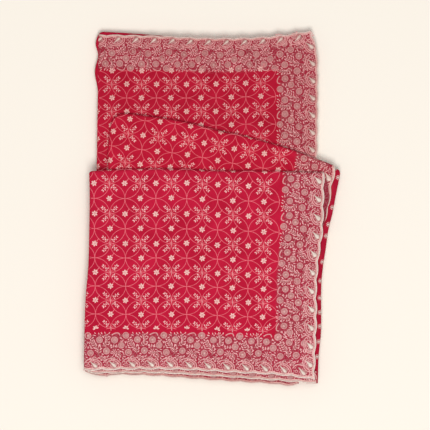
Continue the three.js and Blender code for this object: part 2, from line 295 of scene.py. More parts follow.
@dataclass
class Stretch:
    """A stretch of cloth between its folds and hems; millimetres.

    Its flat part fills the outline at the height top, and it rolls over on the sides in folds, through the
    angle fold_angle. cloth is the shell's thickness, cell the size of its mesh, pucker the height of its
    small puckers, and worked how far in from a side it is densely worked. A hem's scallops are about scallop
    long, or as long as pitches says, and start at scallop_phase. shade is the share of each colour that is
    left where the stretch is less lit.
    """

    name: str
    outline: dict[Side, Rows]
    top: float
    folds: tuple[Side, ...] = ()
    radius: float = 2.9
    hems: tuple[Side, ...] = ()
    cloth: float = 0.7
    cell: float = 2.6
    creases: tuple[Crease, ...] = ()
    pucker: float = 0.10
    seed: int = 1
    scallop: float = SCALLOP
    scallop_depth: float = 1.2
    scallop_phase: dict[Side, float] = field(default_factory=dict)
    pitches: dict[Side, float] = field(default_factory=dict)
    # where it is densely worked, the finish also darkens the cloth with painted shade between the stitches
    worked: dict[Side, float] = field(default_factory=dict)
    fold_angle: float = 0.94 * math.pi
    shade: Colour = BARE
    lines: dict[Side, Line] = field(init=False)

    def __post_init__(self) -> None:
        """Lay the four sides and set the small puckers' directions."""
        self.lines = {side: Line(rows) for side, rows in self.outline.items()}
        draw = np.random.default_rng(self.seed)
        self.waves = [
            (*(draw.normal(0, 1, 2) * 2 * math.pi / wave), draw.uniform(0, 2 * math.pi), share)
            for wave, share in PUCKERS
        ]

    def outward(self, side: Side, u: np.ndarray) -> np.ndarray:
        """Give a side's outward unit normals at shares u of its length."""
        return outward_of(side, self.lines[side].run(u))

    def scallops(self, side: Side, u: np.ndarray) -> np.ndarray:
        """Give how far a scalloped hem lies inside the side's line.

        Args:
            side: The side.
            u: Shares of its length.

        Returns:
            The distances.
        """
        if side not in self.hems:
            return np.zeros_like(u)
        along = np.asarray(u) * self.lines[side].length - self.scallop_phase.get(side, 0.0)
        return self.scallop_depth * (1 - np.abs(np.sin(math.pi * along / self.pitch(side))))

    def pitch(self, side: Side) -> float:
        """Give the length of one scallop of a hem."""
        length = self.lines[side].length
        return self.pitches.get(side, length / max(round(length / self.scallop), 1))

    def covers(self, p: np.ndarray) -> np.ndarray:
        """Say which flat places are on the cloth, as far as its folds turn.

        Args:
            p: The places.

        Returns:
            True where there is cloth.
        """
        covered = np.ones(p.shape[:-1], bool)
        for side in Side:
            q, normal = self.near(side, p)
            # a fold starts one radius inside its side's line
            allowed = self.radius * (self.fold_angle - 1) if side in self.folds else ON_HEM
            covered &= ((p - q) * normal).sum(-1) <= allowed
        return covered

    def hem(self, side: Side, u: np.ndarray, inwards: float = 0.0) -> np.ndarray:
        """Give points along a scalloped hem, or at a distance inside it."""
        depth = self.scallops(side, u) + inwards
        return self.lines[side].place(u) - self.outward(side, u) * depth[..., None]

    def inside(self, s: np.ndarray, t: np.ndarray) -> np.ndarray:
        """Give points of the flat part.

        Args:
            s: Shares across.
            t: Shares up.

        Returns:
            The points.
        """
        ends = {Side.LEFT: (s, 0, t), Side.RIGHT: (s, 1, t), Side.BOTTOM: (t, 0, s), Side.TOP: (t, 1, s)}
        inset = {side: self.radius if side in self.folds else 0.0 for side in Side}

        def side_point(side: Side, u: np.ndarray) -> np.ndarray:
            """Give a side's points after each side is taken in for its fold.

            Args:
                side: The side.
                u: Shares of its length.

            Returns:
                The points.
            """
            first, last = (Side.BOTTOM, Side.TOP) if side in UPRIGHT else (Side.LEFT, Side.RIGHT)
            end = np.zeros_like(u) if side in STARTS else np.ones_like(u)
            p = self.lines[side].place(u) - self.outward(side, u) * inset[side]
            p = p - self.outward(first, end) * ((1 - u) * inset[first])[..., None]
            return p - self.outward(last, end) * (u * inset[last])[..., None]

        total = 0.0
        for side in Side:
            across, far, along = ends[side]
            weight = across if far else 1 - across
            total = total + side_point(side, along) * weight[..., None]
        zero, one = np.zeros_like(s), np.ones_like(s)
        for side, t_weight in ((Side.BOTTOM, 1 - t), (Side.TOP, t)):
            total = total - side_point(side, zero) * ((1 - s) * t_weight)[..., None]
            total = total - side_point(side, one) * (s * t_weight)[..., None]
        return total

    def near(self, side: Side, p: np.ndarray) -> tuple[np.ndarray, np.ndarray]:
        """Find where a side is level with places.

        Args:
            side: The side.
            p: The places.

        Returns:
            The side's point level with each place, and its outward normal there.
        """
        axis = 1 if side in UPRIGHT else 0
        line = self.lines[side]
        d = np.interp(p[..., axis], line.points[:, axis], line.walked) / line.length
        return line.place(d), self.outward(side, d)

    def drape(self, flat: np.ndarray, lift: np.ndarray | float = 0.0) -> np.ndarray:
        """Carry places on the flat cloth to the folded cloth.

        Args:
            flat: Places on the cloth as if it lay flat, with its folds opened.
            lift: How far above the cloth's outer face each point stands.

        Returns:
            The points in space, in millimetres.
        """
        past = np.zeros_like(flat)
        for side in self.folds:
            q, normal = self.near(side, flat)
            beyond = np.maximum(((flat - q) * normal).sum(-1) + self.radius, 0)
            past = past + normal * beyond[..., None]
        distance = np.linalg.norm(past, axis=-1)
        aside = past / np.maximum(distance, 1e-9)[..., None]
        turned = np.minimum(distance / self.radius, self.fold_angle)
        on = distance - turned * self.radius
        out = np.where(distance > 0, (self.radius + lift) * np.sin(turned) + on * np.cos(turned), 0)
        down = self.radius - (self.radius + lift) * np.cos(turned) + on * np.sin(turned)
        place = flat - past + aside * out[..., None]
        x, y = place[..., 0], place[..., 1]
        fade = np.clip(np.cos(turned), 0, 1)
        z = (self.top - down) * (1 - slack_at(x, y)) + self.wrinkles(x, y) * fade
        return np.stack([x, y, z], -1)

    def wrinkles(self, x: np.ndarray, y: np.ndarray) -> np.ndarray:
        """Give the height of the creases and small puckers.

        Args:
            x: Places across, in millimetres.
            y: Places along, in millimetres.

        Returns:
            The height at each place.
        """
        lift = sum((crease.lift(x, y) for crease in self.creases), np.zeros_like(x))
        for kx, ky, phase, share in self.waves:
            lift = lift + self.pucker * share * np.sin(kx * x + ky * y + phase)
        return lift

    def grid(self) -> tuple[np.ndarray, np.ndarray, np.ndarray, np.ndarray]:
        """Set out the lines of the mesh.

        Returns:
            The shares across and how far past a side fold each column lies, and the same for the rows, up.
        """
        width = max(self.lines[Side.BOTTOM].length, self.lines[Side.TOP].length)
        height = max(self.lines[Side.LEFT].length, self.lines[Side.RIGHT].length)
        rings = np.linspace(0, self.fold_angle * self.radius, FOLD_ROWS + 1)[1:]
        sides = (Side.LEFT, Side.RIGHT, Side.TOP)
        left, right, up = (rings if side in self.folds else np.zeros(0) for side in sides)
        s = np.linspace(0, 1, max(round(width / self.cell), 2) + 1)
        t = np.linspace(0, 1, max(round(height / self.cell), 2) + 1)
        across = np.concatenate([np.zeros(len(left)), s, np.ones(len(right))])
        sideways = np.concatenate([-left[::-1], np.zeros(len(s)), right])
        upwards = np.concatenate([t, np.ones(len(up))])
        above = np.concatenate([np.zeros(len(t)), up])
        return across, sideways, upwards, above

    def flat_grid(self) -> np.ndarray:
        """Lay the mesh out on the flat cloth, with scalloped hems and its folds laid open.

        Returns:
            The places, column by column.
        """
        across, sideways, upwards, above = self.grid()
        s, t = np.meshgrid(across, upwards, indexing="ij")
        aside, over = np.meshgrid(sideways, above, indexing="ij")
        flat = self.inside(s, t)
        ring = np.maximum(np.abs(aside), over)
        safe = np.maximum(ring, 1e-9)
        share = np.where(np.abs(aside) >= over, over / safe / 2, 1 - np.abs(aside) / safe / 2)
        turn = share * math.pi / 2
        left, right = self.outward(Side.LEFT, t), self.outward(Side.RIGHT, t)
        out = ring * np.cos(turn) * (aside != 0)
        flat = flat + np.where((aside < 0)[..., None], left, right) * out[..., None]
        flat = flat + self.outward(Side.TOP, s) * (ring * np.sin(turn) * (over != 0))[..., None]
        for side in self.hems:
            u, towards, other = (t, s, Side.BOTTOM) if side in UPRIGHT else (s, t, Side.LEFT)
            gone = 1 - towards if side in STARTS else towards
            close = np.clip(1 - (1 - gone) * self.lines[other].length / HEM_FADE, 0, 1)
            flat = flat - self.outward(side, u) * (self.scallops(side, u) * close)[..., None]
        return flat

    def build(self, finish: "Finish") -> bpy.types.Object:
        """Make the stretch as a thin closed shell.

        Args:
            finish: The cloth's finish.

        Returns:
            The finished piece.
        """
        flat = self.flat_grid()
        columns, rows = flat.shape[:2]
        number = np.arange(columns * rows).reshape(columns, rows)
        outer = self.drape(flat).reshape(-1, 3)
        inner = self.drape(flat, -self.cloth).reshape(-1, 3)
        a, b, c, d = number[:-1, :-1], number[1:, :-1], number[1:, 1:], number[:-1, 1:]
        upper = np.stack([a, b, c, d], -1).reshape(-1, 4)
        lower = upper[:, ::-1] + columns * rows
        rim = np.concatenate([number[:, 0], number[-1, 1:], number[-2::-1, -1], number[0, -2:0:-1]])
        after = np.roll(rim, -1)
        wall = np.stack([rim, rim + columns * rows, after + columns * rows, after], -1)
        faces = np.concatenate([upper, lower, wall]).tolist()
        uv = np.tile(flat.reshape(-1, 2) * MM, (2, 1))
        obj = add_mesh(self.name, np.vstack([outer, inner]), faces, uv)
        worked = obj.data.attributes.new(WORKED, "FLOAT", "POINT")
        worked.data.foreach_set("value", np.tile(self.worked_at(flat.reshape(-1, 2)), 2).astype(np.float32))
        smooth(obj)
        obj.data.materials.append(finish.shaded(self.shade).material())
        return obj

    def worked_at(self, flat: np.ndarray) -> np.ndarray:
        """Say how densely flat places are worked.

        Args:
            flat: The places.

        Returns:
            Each place's share, from 0 to 1.
        """
        dense = np.zeros(len(flat))
        for side, width in self.worked.items():
            q, normal = self.near(side, flat)
            inwards = -((flat - q) * normal).sum(-1)
            dense = np.maximum(dense, np.clip((width - inwards) / 2, 0, 1))
        return dense

    def flat_size(self) -> tuple[float, float]:
        """Give the size that this stretch is cut to.

        Returns:
            Its width and height laid flat, in metres.
        """
        flat = self.flat_grid()
        middles = (flat[:, flat.shape[1] // 2], flat[flat.shape[0] // 2])
        width, height = (float(np.linalg.norm(np.diff(p, axis=0), axis=-1).sum()) for p in middles)
        return round(width * MM, 3), round(height * MM, 3)


# ---- Finishes ----
def set_inputs(node: bpy.types.Node, **values: float | tuple[float, ...]) -> None:
    """Set a node's own inputs; a name has _ where the input's name has a space."""
    for name, value in values.items():
        node.inputs[name.replace("_", " ")].default_value = value


def calculate(
    tree: bpy.types.NodeTree, operation: str, *terms: bpy.types.NodeSocket | float
) -> bpy.types.NodeSocket:
    """Add a Math node.

    Args:
        tree: The node tree.
        operation: What the node does.
        terms: Its terms, each a socket or a number.

    Returns:
        Its result.
    """
    node = tree.nodes.new("ShaderNodeMath")
    node.operation = operation
    for term, entry in zip(terms, node.inputs):
        if isinstance(term, bpy.types.NodeSocket):
            tree.links.new(term, entry)
        else:
            entry.default_value = term
    return node.outputs[0]


def noise(
    tree: bpy.types.NodeTree, place: bpy.types.NodeSocket, scale: bpy.types.NodeSocket, **values: float
) -> bpy.types.NodeSocket:
    """Add soft noise.

    Args:
        tree: The node tree.
        place: Where its places come from.
        scale: Where its scale comes from.
        values: Its other inputs.

    Returns:
        The noise, from 0 to 1.
    """
    node = tree.nodes.new("ShaderNodeTexNoise")
    set_inputs(node, **values)
    tree.links.new(place, node.inputs["Vector"])
    tree.links.new(scale, node.inputs["Scale"])
    return node.outputs["Fac"]


CREPE = "crepe weave"
BANDS_PER_THREAD = 0.16  # the scale of the weave's bands against the grain's


def crepe_group() -> bpy.types.NodeTree:
    """Build the crepe weave: a fine twisted-thread grain with soft mottling.

    Returns:
        The node group, with the inputs Vector, Threads and Mottle Size, and the outputs Height, Grain and
        Mottle.
    """
    if CREPE in bpy.data.node_groups:
        return bpy.data.node_groups[CREPE]
    group = bpy.data.node_groups.new(CREPE, "ShaderNodeTree")
    face, link = group.interface, group.links.new
    face.new_socket("Vector", in_out="INPUT", socket_type="NodeSocketVector")
    for way_through, label in (
        ("INPUT", "Threads"), ("INPUT", "Mottle Size"), ("OUTPUT", "Height"), ("OUTPUT", "Grain"),
        ("OUTPUT", "Mottle"),
    ):
        face.new_socket(label, in_out=way_through, socket_type="NodeSocketFloat")
    start, end = group.nodes.new("NodeGroupInput"), group.nodes.new("NodeGroupOutput")
    place, threads, patches = (start.outputs[label] for label in ("Vector", "Threads", "Mottle Size"))
    bands = []
    for direction in ("X", "Y"):
        wave = group.nodes.new("ShaderNodeTexWave")
        wave.wave_type, wave.bands_direction = "BANDS", direction
        set_inputs(wave, Distortion=2.4, Detail=2.0)
        link(place, wave.inputs["Vector"])
        link(calculate(group, "MULTIPLY", threads, BANDS_PER_THREAD), wave.inputs["Scale"])
        bands.append(wave.outputs["Fac"])
    grain = noise(group, place, threads, Detail=3.0, Roughness=0.6)
    mottle = noise(group, place, patches, Detail=5.0, Roughness=0.62, Distortion=0.6)
    height = calculate(group, "MULTIPLY_ADD", calculate(group, "MAXIMUM", *bands), 0.5, grain)
    for label, result in (("Height", height), ("Grain", grain), ("Mottle", mottle)):
        link(result, end.inputs[label])
    return group


def crepe(
    tree: bpy.types.NodeTree, place: bpy.types.NodeSocket, threads: float, patches: float
) -> bpy.types.Node:
    """Place the crepe weave in a material.

    Args:
        tree: The material's node tree.
        place: Where its places come from.
        threads: How fine its threads are, in threads to a metre.
        patches: How fine its mottling is, in patches to a metre.

    Returns:
        The group's node.
    """
    node = tree.nodes.new("ShaderNodeGroup")
    node.node_tree = crepe_group()
    set_inputs(node, Threads=threads, Mottle_Size=patches)
    tree.links.new(place, node.inputs["Vector"])
    return node


def ramp(
    tree: bpy.types.NodeTree, source: bpy.types.NodeSocket, stops: list[tuple[float, Colour]]
) -> bpy.types.NodeSocket:
    """Add a colour ramp.

    Args:
        tree: The material's node tree.
        source: What drives it, from 0 to 1.
        stops: Each stop's place and colour.

    Returns:
        Its colour.
    """
    node = tree.nodes.new("ShaderNodeValToRGB")
    for element, (at, colour) in zip(node.color_ramp.elements, stops):
        element.position, element.color = at, (*colour, 1.0)
    tree.links.new(source, node.inputs["Fac"])
    return node.outputs["Color"]


def mix(
    tree: bpy.types.NodeTree, blend: str, share: bpy.types.NodeSocket, first: bpy.types.NodeSocket,
    second: Colour,
) -> bpy.types.NodeSocket:
    """Mix a colour into another.

    Args:
        tree: The material's node tree.
        blend: How they are mixed.
        share: How much of the second is mixed in.
        first: The first colour.
        second: The second colour.

    Returns:
        The mixed colour.
    """
    node = tree.nodes.new("ShaderNodeMix")
    node.data_type, node.blend_type = "RGBA", blend
    node.inputs["B"].default_value = (*second, 1)
    tree.links.new(share, node.inputs["Factor"])
    tree.links.new(first, node.inputs["A"])
    return node.outputs["Result"]


def surface(
    tree: bpy.types.NodeTree, shader: bpy.types.Node, colour: bpy.types.NodeSocket,
    height: bpy.types.NodeSocket, relief: tuple[float, float], **values: float | tuple[float, ...],
) -> None:
    """Wire a colour and a bump into the shader, and set its own values.

    Args:
        tree: The material's node tree.
        shader: The shader.
        colour: The base colour.
        height: The bump's height.
        relief: The bump's strength, and its distance in metres.
        values: The shader's own inputs.
    """
    tree.links.new(colour, shader.inputs["Base Color"])
    bump = tree.nodes.new("ShaderNodeBump")
    set_inputs(bump, Strength=relief[0], Distance=relief[1])
    tree.links.new(height, bump.inputs["Height"])
    tree.links.new(bump.outputs["Normal"], shader.inputs["Normal"])
    set_inputs(shader, **values)


@dataclass(frozen=True)
class Finish:
    """What every finish has: a name, two tones and a material that is made once."""

    name: str
    dark: Colour = (0.30, 0.004, 0.016)
    light: Colour = (0.58, 0.010, 0.040)

    def shaded(self, shade: Colour) -> "Finish":
        """Give this finish as it looks where it is less lit.

        Args:
            shade: The share of each colour that is left.

        Returns:
            The finish.
        """
        if shade == BARE:
            return self
        tones = (self.dark, self.light)
        dark, light = (tuple(c * share for c, share in zip(tone, shade)) for tone in tones)
        return replace(self, name=f"{self.name} {shade[0]:.2f}", dark=dark, light=light)

    def material(self) -> bpy.types.Material:
        """Make the material, or give the one that is there.

        Returns:
            The material.
        """
        if self.name in bpy.data.materials:
            return bpy.data.materials[self.name]
        material = bpy.data.materials.new(self.name)
        material.use_nodes = True
        self.dress(material.node_tree, material.node_tree.nodes["Principled BSDF"])
        return material

    def dress(self, tree: bpy.types.NodeTree, shader: bpy.types.Node) -> None:
        """Wire the finish's nodes into the shader."""
        raise NotImplementedError


@dataclass(frozen=True)
class Georgette(Finish):
    """Dyed georgette: a matt crepe with a faint sheen, flecked with filling stitches where it is worked.

    flecks gives the least and the most of the filling colour that shows where the cloth is worked. Where it
    is worked the cloth is also darkened, a painted shade for the shadows between dense stitches.
    """

    dark: Colour = (0.415, 0.0030, 0.025)
    light: Colour = (0.555, 0.0084, 0.044)
    filling: Colour = (0.40, 0.135, 0.145)
    # painted shade: the share of each colour that is left where the cloth is densely worked, for the shadows
    # between stitches
    painted_stitch_shade: Colour = (0.74, 0.95, 0.95)
    threads: float = 2600.0
    patches: float = 34.0
    fleck_size: float = 520.0
    flecks: tuple[float, float] = (0.04, 0.62)
    relief: float = 0.35

    def dress(self, tree: bpy.types.NodeTree, shader: bpy.types.Node) -> None:
        """Wire the crepe weave to colour and bump, on the flat cloth's own places.

        Args:
            tree: The material's node tree.
            shader: Its shader.
        """
        place = tree.nodes.new("ShaderNodeUVMap")
        place.uv_map = FLAT_PLACES
        weave = crepe(tree, place.outputs["UV"], self.threads, self.patches)
        tone = ramp(tree, weave.outputs["Mottle"], [(0.28, self.dark), (0.72, self.light)])
        worked = tree.nodes.new("ShaderNodeAttribute")
        worked.attribute_name = WORKED
        dense = worked.outputs["Fac"]
        flecks = crepe(tree, place.outputs["UV"], self.fleck_size, self.fleck_size)
        bare, full = ((grey,) * 3 for grey in self.flecks)
        stitched = ramp(tree, flecks.outputs["Grain"], [(0.46, bare), (0.60, full)])
        # painted shade: the cloth is darkened where it is densely worked, standing in for the shadows between
        # stitches
        stitch_shaded = mix(tree, "MULTIPLY", dense, tone, self.painted_stitch_shade)
        filled = mix(tree, "MIX", calculate(tree, "MULTIPLY", dense, stitched), stitch_shaded, self.filling)
        surface(
            tree, shader, filled, weave.outputs["Height"], (self.relief, 0.0003),
            Roughness=0.8, Specular_IOR_Level=0.12,
            Sheen_Weight=0.05, Sheen_Roughness=0.45, Sheen_Tint=(1.0, 0.45, 0.5, 1.0))


@dataclass(frozen=True)
class Silk(Finish):
    """Embroidery thread: fine strands with a soft shine."""

    roughness: float = 0.42
    sheen: float = 0.3
    strands: float = 1500.0
    patches: float = 420.0

    def dress(self, tree: bpy.types.NodeTree, shader: bpy.types.Node) -> None:
        """Wire the strands to colour and bump.

        Args:
            tree: The material's node tree.
            shader: Its shader.
        """
        place = tree.nodes.new("ShaderNodeTexCoord").outputs["Object"]
        strands = crepe(tree, place, self.strands, self.patches)
        tone = ramp(tree, strands.outputs["Mottle"], [(0.32, self.dark), (0.68, self.light)])
        surface(
            tree, shader, tone, strands.outputs["Height"], (0.5, 0.0002), Roughness=self.roughness,
            Specular_IOR_Level=0.45, Sheen_Weight=self.sheen, Sheen_Roughness=0.35)


@dataclass(frozen=True)
class Layers(Finish):
    """The edges of many folded layers: crimson, in streaks of uneven tone that run along them; the darker
    streaks are painted shade between the layers.
    """

    threads: float = 1800.0
    patches: float = 90.0
    flattened: float = 14.0

    def dress(self, tree: bpy.types.NodeTree, shader: bpy.types.Node) -> None:
        """Wire noise that runs along the layers to colour and bump.

        Args:
            tree: The material's node tree.
            shader: Its shader.
        """
        place = tree.nodes.new("ShaderNodeTexCoord").outputs["Object"]
        along = tree.nodes.new("ShaderNodeMapping")
        set_inputs(along, Scale=(1.0, 1.0, self.flattened))
        tree.links.new(place, along.inputs["Vector"])
        layers = crepe(tree, along.outputs["Vector"], self.threads, self.patches)
        # streaks along the layers; the darker ones are painted shade between the layers
        tone = ramp(tree, layers.outputs["Mottle"], [(0.30, self.dark), (0.72, self.light)])
        surface(
            tree, shader, tone, layers.outputs["Grain"], (0.5, 0.0004), Roughness=0.8, Specular_IOR_Level=0.2)


FIELD_CLOTH = Georgette("crimson georgette")
PLAIN_CLOTH = Georgette("plain crimson georgette", dark=(0.39, 0.003, 0.024), light=(0.49, 0.006, 0.037))
EDGES = Layers("folded edges")
LINE_SILK = Silk("rose line silk", dark=(0.75, 0.135, 0.175), light=(0.94, 0.24, 0.29))
FLOWER_SILK = Silk("pale rose silk", dark=(0.66, 0.285, 0.29), light=(0.93, 0.52, 0.505))
PETAL_SILK = Silk("blush silk", dark=(0.68, 0.36, 0.33), light=(0.90, 0.56, 0.50))
GROUND_SILK = Silk("mauve silk", dark=(0.35, 0.108, 0.108), light=(0.52, 0.20, 0.19))
IVORY_SILK = Silk("ivory silk", dark=(0.62, 0.49, 0.42), light=(0.84, 0.72, 0.63), roughness=0.36)
CORD_SILK = Silk("cream cord", dark=(0.70, 0.55, 0.49), light=(0.93, 0.82, 0.75), roughness=0.5)


# ---- Stitches: small forms modelled once, in their own units, and copied all over the cloth ----
@dataclass(frozen=True)
class Form:
    """A small closed form: its points across, along and up, and its faces."""

    points: np.ndarray
    faces: tuple[tuple[int, ...], ...]


def take_form(taper: float = 1.0) -> Form:
    """Turn the active object into a form, and remove the object.

    Args:
        taper: How much narrower the form gets towards its far end.

    Returns:
        The form.
    """
    obj = bpy.context.object
    points = np.array([v.co[:] for v in obj.data.vertices])
    points[:, 1] *= 1 - (1 - taper) * np.clip(points[:, 0], 0, 1)
    faces = tuple(tuple(p.vertices) for p in obj.data.polygons)
    mesh = obj.data
    bpy.data.objects.remove(obj)
    bpy.data.meshes.remove(mesh)
    return Form(points, faces)


def model_leaf() -> Form:
    """Model a satin-stitch leaf one unit long: a low cone with six sides, pointed at both ends.

    Returns:
        The form.
    """
    bpy.ops.object.select_all(action="DESELECT")
    bpy.ops.mesh.primitive_cone_add(vertices=6, radius1=0.5, radius2=0, depth=1, end_fill_type="NGON")
    bpy.ops.object.mode_set(mode="EDIT")
    bpy.ops.mesh.select_all(action="SELECT")
    bpy.ops.transform.rotate(value=math.radians(30), orient_axis="Z", center_override=(0, 0, 0))
    bpy.ops.transform.translate(value=(0.5, 0, 0.5))
    bpy.ops.object.mode_set(mode="OBJECT")
    return take_form(taper=0.8)


def model_ring(thick: float) -> Form:
    """Model a ring of couched thread with a middle radius of one unit.

    Args:
        thick: How far it reaches on each side of its middle radius.

    Returns:
        The form.
    """
    bpy.ops.object.select_all(action="DESELECT")
    bpy.ops.mesh.primitive_torus_add(major_segments=12, minor_segments=4, major_radius=1, minor_radius=thick)
    bpy.ops.object.mode_set(mode="EDIT")
    bpy.ops.mesh.select_all(action="SELECT")
    bpy.ops.transform.resize(value=(1, 1, 1 / thick))
    bpy.ops.object.mode_set(mode="OBJECT")
    return take_form()


def model_knot() -> Form:
    """Model a French knot with a radius of one unit.

    Returns:
        The form.
    """
    bpy.ops.object.select_all(action="DESELECT")
    bpy.ops.mesh.primitive_ico_sphere_add(subdivisions=1, radius=1)
    return take_form()


SUNK = 0.12  # how far stitches sink into the cloth


def unbroken(held: np.ndarray) -> list[slice]:
    """Find the unbroken runs of held places that are at least three places long."""
    edges = np.flatnonzero(np.diff(np.concatenate([[0], held.astype(int), [0]])))
    return [slice(start, end) for start, end in zip(edges[::2], edges[1::2]) if end - start > 2]


class Needlework:
    """Collects stitches on the flat cloth, and drapes them over a stretch as one piece."""

    def __init__(self, name: str, stretch: Stretch, finish: Finish) -> None:
        """Start an empty piece that is sewn to a stretch."""
        self.name, self.stretch, self.finish = name, stretch, finish
        self.stitches: list[tuple[np.ndarray, tuple, np.ndarray]] = []

    def stitch(self, form: Form, at: np.ndarray, angle: float, size: tuple[float, float, float]) -> None:
        """Add one copy of a form.

        Args:
            form: The form.
            at: Where its own origin goes on the flat cloth, in millimetres.
            angle: The direction of its first axis, in radians.
            size: Its length, width and height, in millimetres for one of its units.
        """
        p = form.points * np.array(size)
        c, s = math.cos(angle), math.sin(angle)
        x, y = p[:, 0] * c - p[:, 1] * s + at[0], p[:, 0] * s + p[:, 1] * c + at[1]
        self.stitches.append((np.stack([x, y, p[:, 2] - SUNK], -1), form.faces, at))

    def thread(self, path: np.ndarray, width: float, height: float) -> None:
        """Add a couched thread along a path, where there is cloth."""
        for run in unbroken(self.stretch.covers(path)):
            self.couch(path[run], width, height)

    def couch(
        self, path: np.ndarray, width: float | np.ndarray, height: float | np.ndarray, steps: int = 2
    ) -> None:
        """Add one unbroken length of thread or padding.

        Args:
            path: The places that it passes, in millimetres on the flat cloth.
            width: Its width, or its width at each place.
            height: Its height, or its height at each place.
            steps: How many flats its rounded top has.
        """
        n, m = len(path), steps + 1
        run = np.gradient(path, axis=0)
        run = run / np.maximum(np.linalg.norm(run, axis=1, keepdims=True), 1e-9)
        aside = np.stack([-run[:, 1], run[:, 0]], -1) * np.broadcast_to(width, n)[:, None] / 2
        turn = np.linspace(0, math.pi, m)
        flat = path[:, None] + aside[:, None] * np.cos(turn)[:, None]
        high = (np.broadcast_to(height, n)[:, None] + SUNK) * np.sin(turn) - SUNK
        faces = [tuple(range(m - 1, -1, -1)), tuple(range(n * m - m, n * m))]
        for a in range(0, (n - 1) * m, m):
            faces += [(a + k, a + k + 1, a + m + k + 1, a + m + k) for k in range(steps)]
            faces.append((a + steps, a, a + m, a + m + steps))
        self.stitches.append((np.dstack([flat, high]).reshape(-1, 3), tuple(faces), path[n // 2]))

    def build(self) -> bpy.types.Object | None:
        """Drape all stitches that are on the cloth over the stretch, and make the piece.

        Returns:
            The piece, or None where no stitch is on the cloth.
        """
        covered = self.stretch.covers(np.array([at for _, _, at in self.stitches]).reshape(-1, 2))
        kept = [stitch for stitch, shown in zip(self.stitches, covered) if shown]
        if not kept:
            return None
        faces, start = [], 0
        for points, form_faces, _ in kept:
            faces += [tuple(n + start for n in face) for face in form_faces]
            start += len(points)
        flat = np.vstack([points for points, _, _ in kept])
        obj = add_mesh(self.name, self.stretch.drape(flat[:, :2], flat[:, 2]), faces)
        smooth(obj, 60)
        obj.data.materials.append(self.finish.shaded(self.stretch.shade).material())
        return obj


@dataclass(frozen=True)
class StitchKit:
    """The stitches that all embroidery is made of."""

    leaf: Form
    ring: Form
    eye: Form
    knot: Form


LEAFLET_TURN = 0.76  # from a sprig's rib, in radians
LEAFLET_WIDTH = 1.55  # millimetres


def way(angle: float) -> np.ndarray:
    """Give the unit vector in a direction."""
    return np.array([math.cos(angle), math.sin(angle)])


def swell(share: float) -> float:
    """Give a leaf's length against the longest one's, from the outermost at 0 to the middle at 1."""
    return 0.62 + 0.38 * share


class Threads:
    """The embroidery of one stretch, a piece for each thread."""

    def __init__(self, stretch: Stretch, kit: StitchKit) -> None:
        """Start the pieces.

        Args:
            stretch: The stretch that they are sewn to.
            kit: The stitches.
        """
        self.kit = kit
        self.lines = Needlework(f"{stretch.name}_line_thread", stretch, LINE_SILK)
        self.flowers = Needlework(f"{stretch.name}_flower_thread", stretch, FLOWER_SILK)
        self.petals = Needlework(f"{stretch.name}_petal_thread", stretch, PETAL_SILK)
        self.ground = Needlework(f"{stretch.name}_ground_thread", stretch, GROUND_SILK)
        self.bright = Needlework(f"{stretch.name}_ivory_thread", stretch, IVORY_SILK)
        self.cord = Needlework(f"{stretch.name}_hem_cord", stretch, CORD_SILK)

    def sew_leaf(self, at: np.ndarray, angle: float, size: float, broad: float = 0.45) -> None:
        """Sew one leaf."""
        self.flowers.stitch(self.kit.leaf, at, angle, (size, size * broad, 0.5))

    def sew_rose(self, at: np.ndarray, radius: float, start: float) -> None:
        """Sew a rose: a satin disc, a couched ring on it, a small ring inside and, in half of them, a knot.

        Args:
            at: Its middle.
            radius: Its radius, about.
            start: How far it is turned, in radians, from 0 to 1.
        """
        kit = self.kit
        for work, form, share, height in (
            (self.ground, kit.knot, 0.92, 0.3), (self.flowers, kit.ring, 0.84, 0.75),
            (self.flowers, kit.eye, 0.245, 0.6),
        ):
            work.stitch(form, at, start, (radius * share, radius * share, height))
        if start > 0.5:
            self.bright.stitch(kit.knot, at, 0, (radius * 0.18, radius * 0.18, 0.8))

    def sew_fan(
        self, at: np.ndarray, angle: float, size: float, count: int, spread: float, draw: np.random.Generator
    ) -> None:
        """Sew a fan of leaves from one base.

        Args:
            at: The base.
            angle: The direction of its middle, in radians.
            size: How far its longest leaf reaches, about.
            count: How many leaves it has.
            spread: The angle from the first leaf to the last, in radians.
            draw: The source of small differences.
        """
        for k in range(count):
            share = k / (count - 1) - 0.5
            turn = angle + share * spread
            length = size * swell(math.cos(share * math.pi)) * draw.uniform(0.92, 1.08)
            self.sew_leaf(at + way(turn) * size * 0.2, turn, length * 0.85, 1.35 / length)

    def sew_sprig(self, rib: np.ndarray, size: float, gap: float) -> None:
        """Sew a sprig: leaflets on both sides of a bent rib, and one at its tip.

        Args:
            rib: The rib's places from its base to its tip, in millimetres on the flat cloth.
            size: The longest leaflet's length.
            gap: How far apart the leaflets are.
        """
        line = Line([tuple(p) for p in rib])
        share = np.arange(gap * 0.5, line.length, gap) / line.length
        self.ground.thread(line.place(np.linspace(0, 1, max(len(share), 4))), 1.5, 0.3)
        runs = line.run(share)
        for k, (p, run) in enumerate(zip(line.place(share), runs)):
            angle = math.atan2(run[1], run[0])
            length = size * swell(math.sin(math.pi * min(share[k] + 0.15, 1)))
            for hand in (1, -1):
                base = p + way(angle + hand * 1.57) * 0.45
                self.sew_leaf(base, angle + hand * LEAFLET_TURN, length, LEAFLET_WIDTH / length)
        tip = line.place(np.array([1.0]))[0]
        self.sew_leaf(tip, math.atan2(runs[-1][1], runs[-1][0]), size * 0.8, 0.45)

    def build(self) -> list[bpy.types.Object]:
        """Make the pieces that hold any stitches.

        Returns:
            The pieces.
        """
        works = (self.lines, self.ground, self.flowers, self.petals, self.bright, self.cord)
        made = (work.build() for work in works if work.stitches)
        return [piece for piece in made if piece]


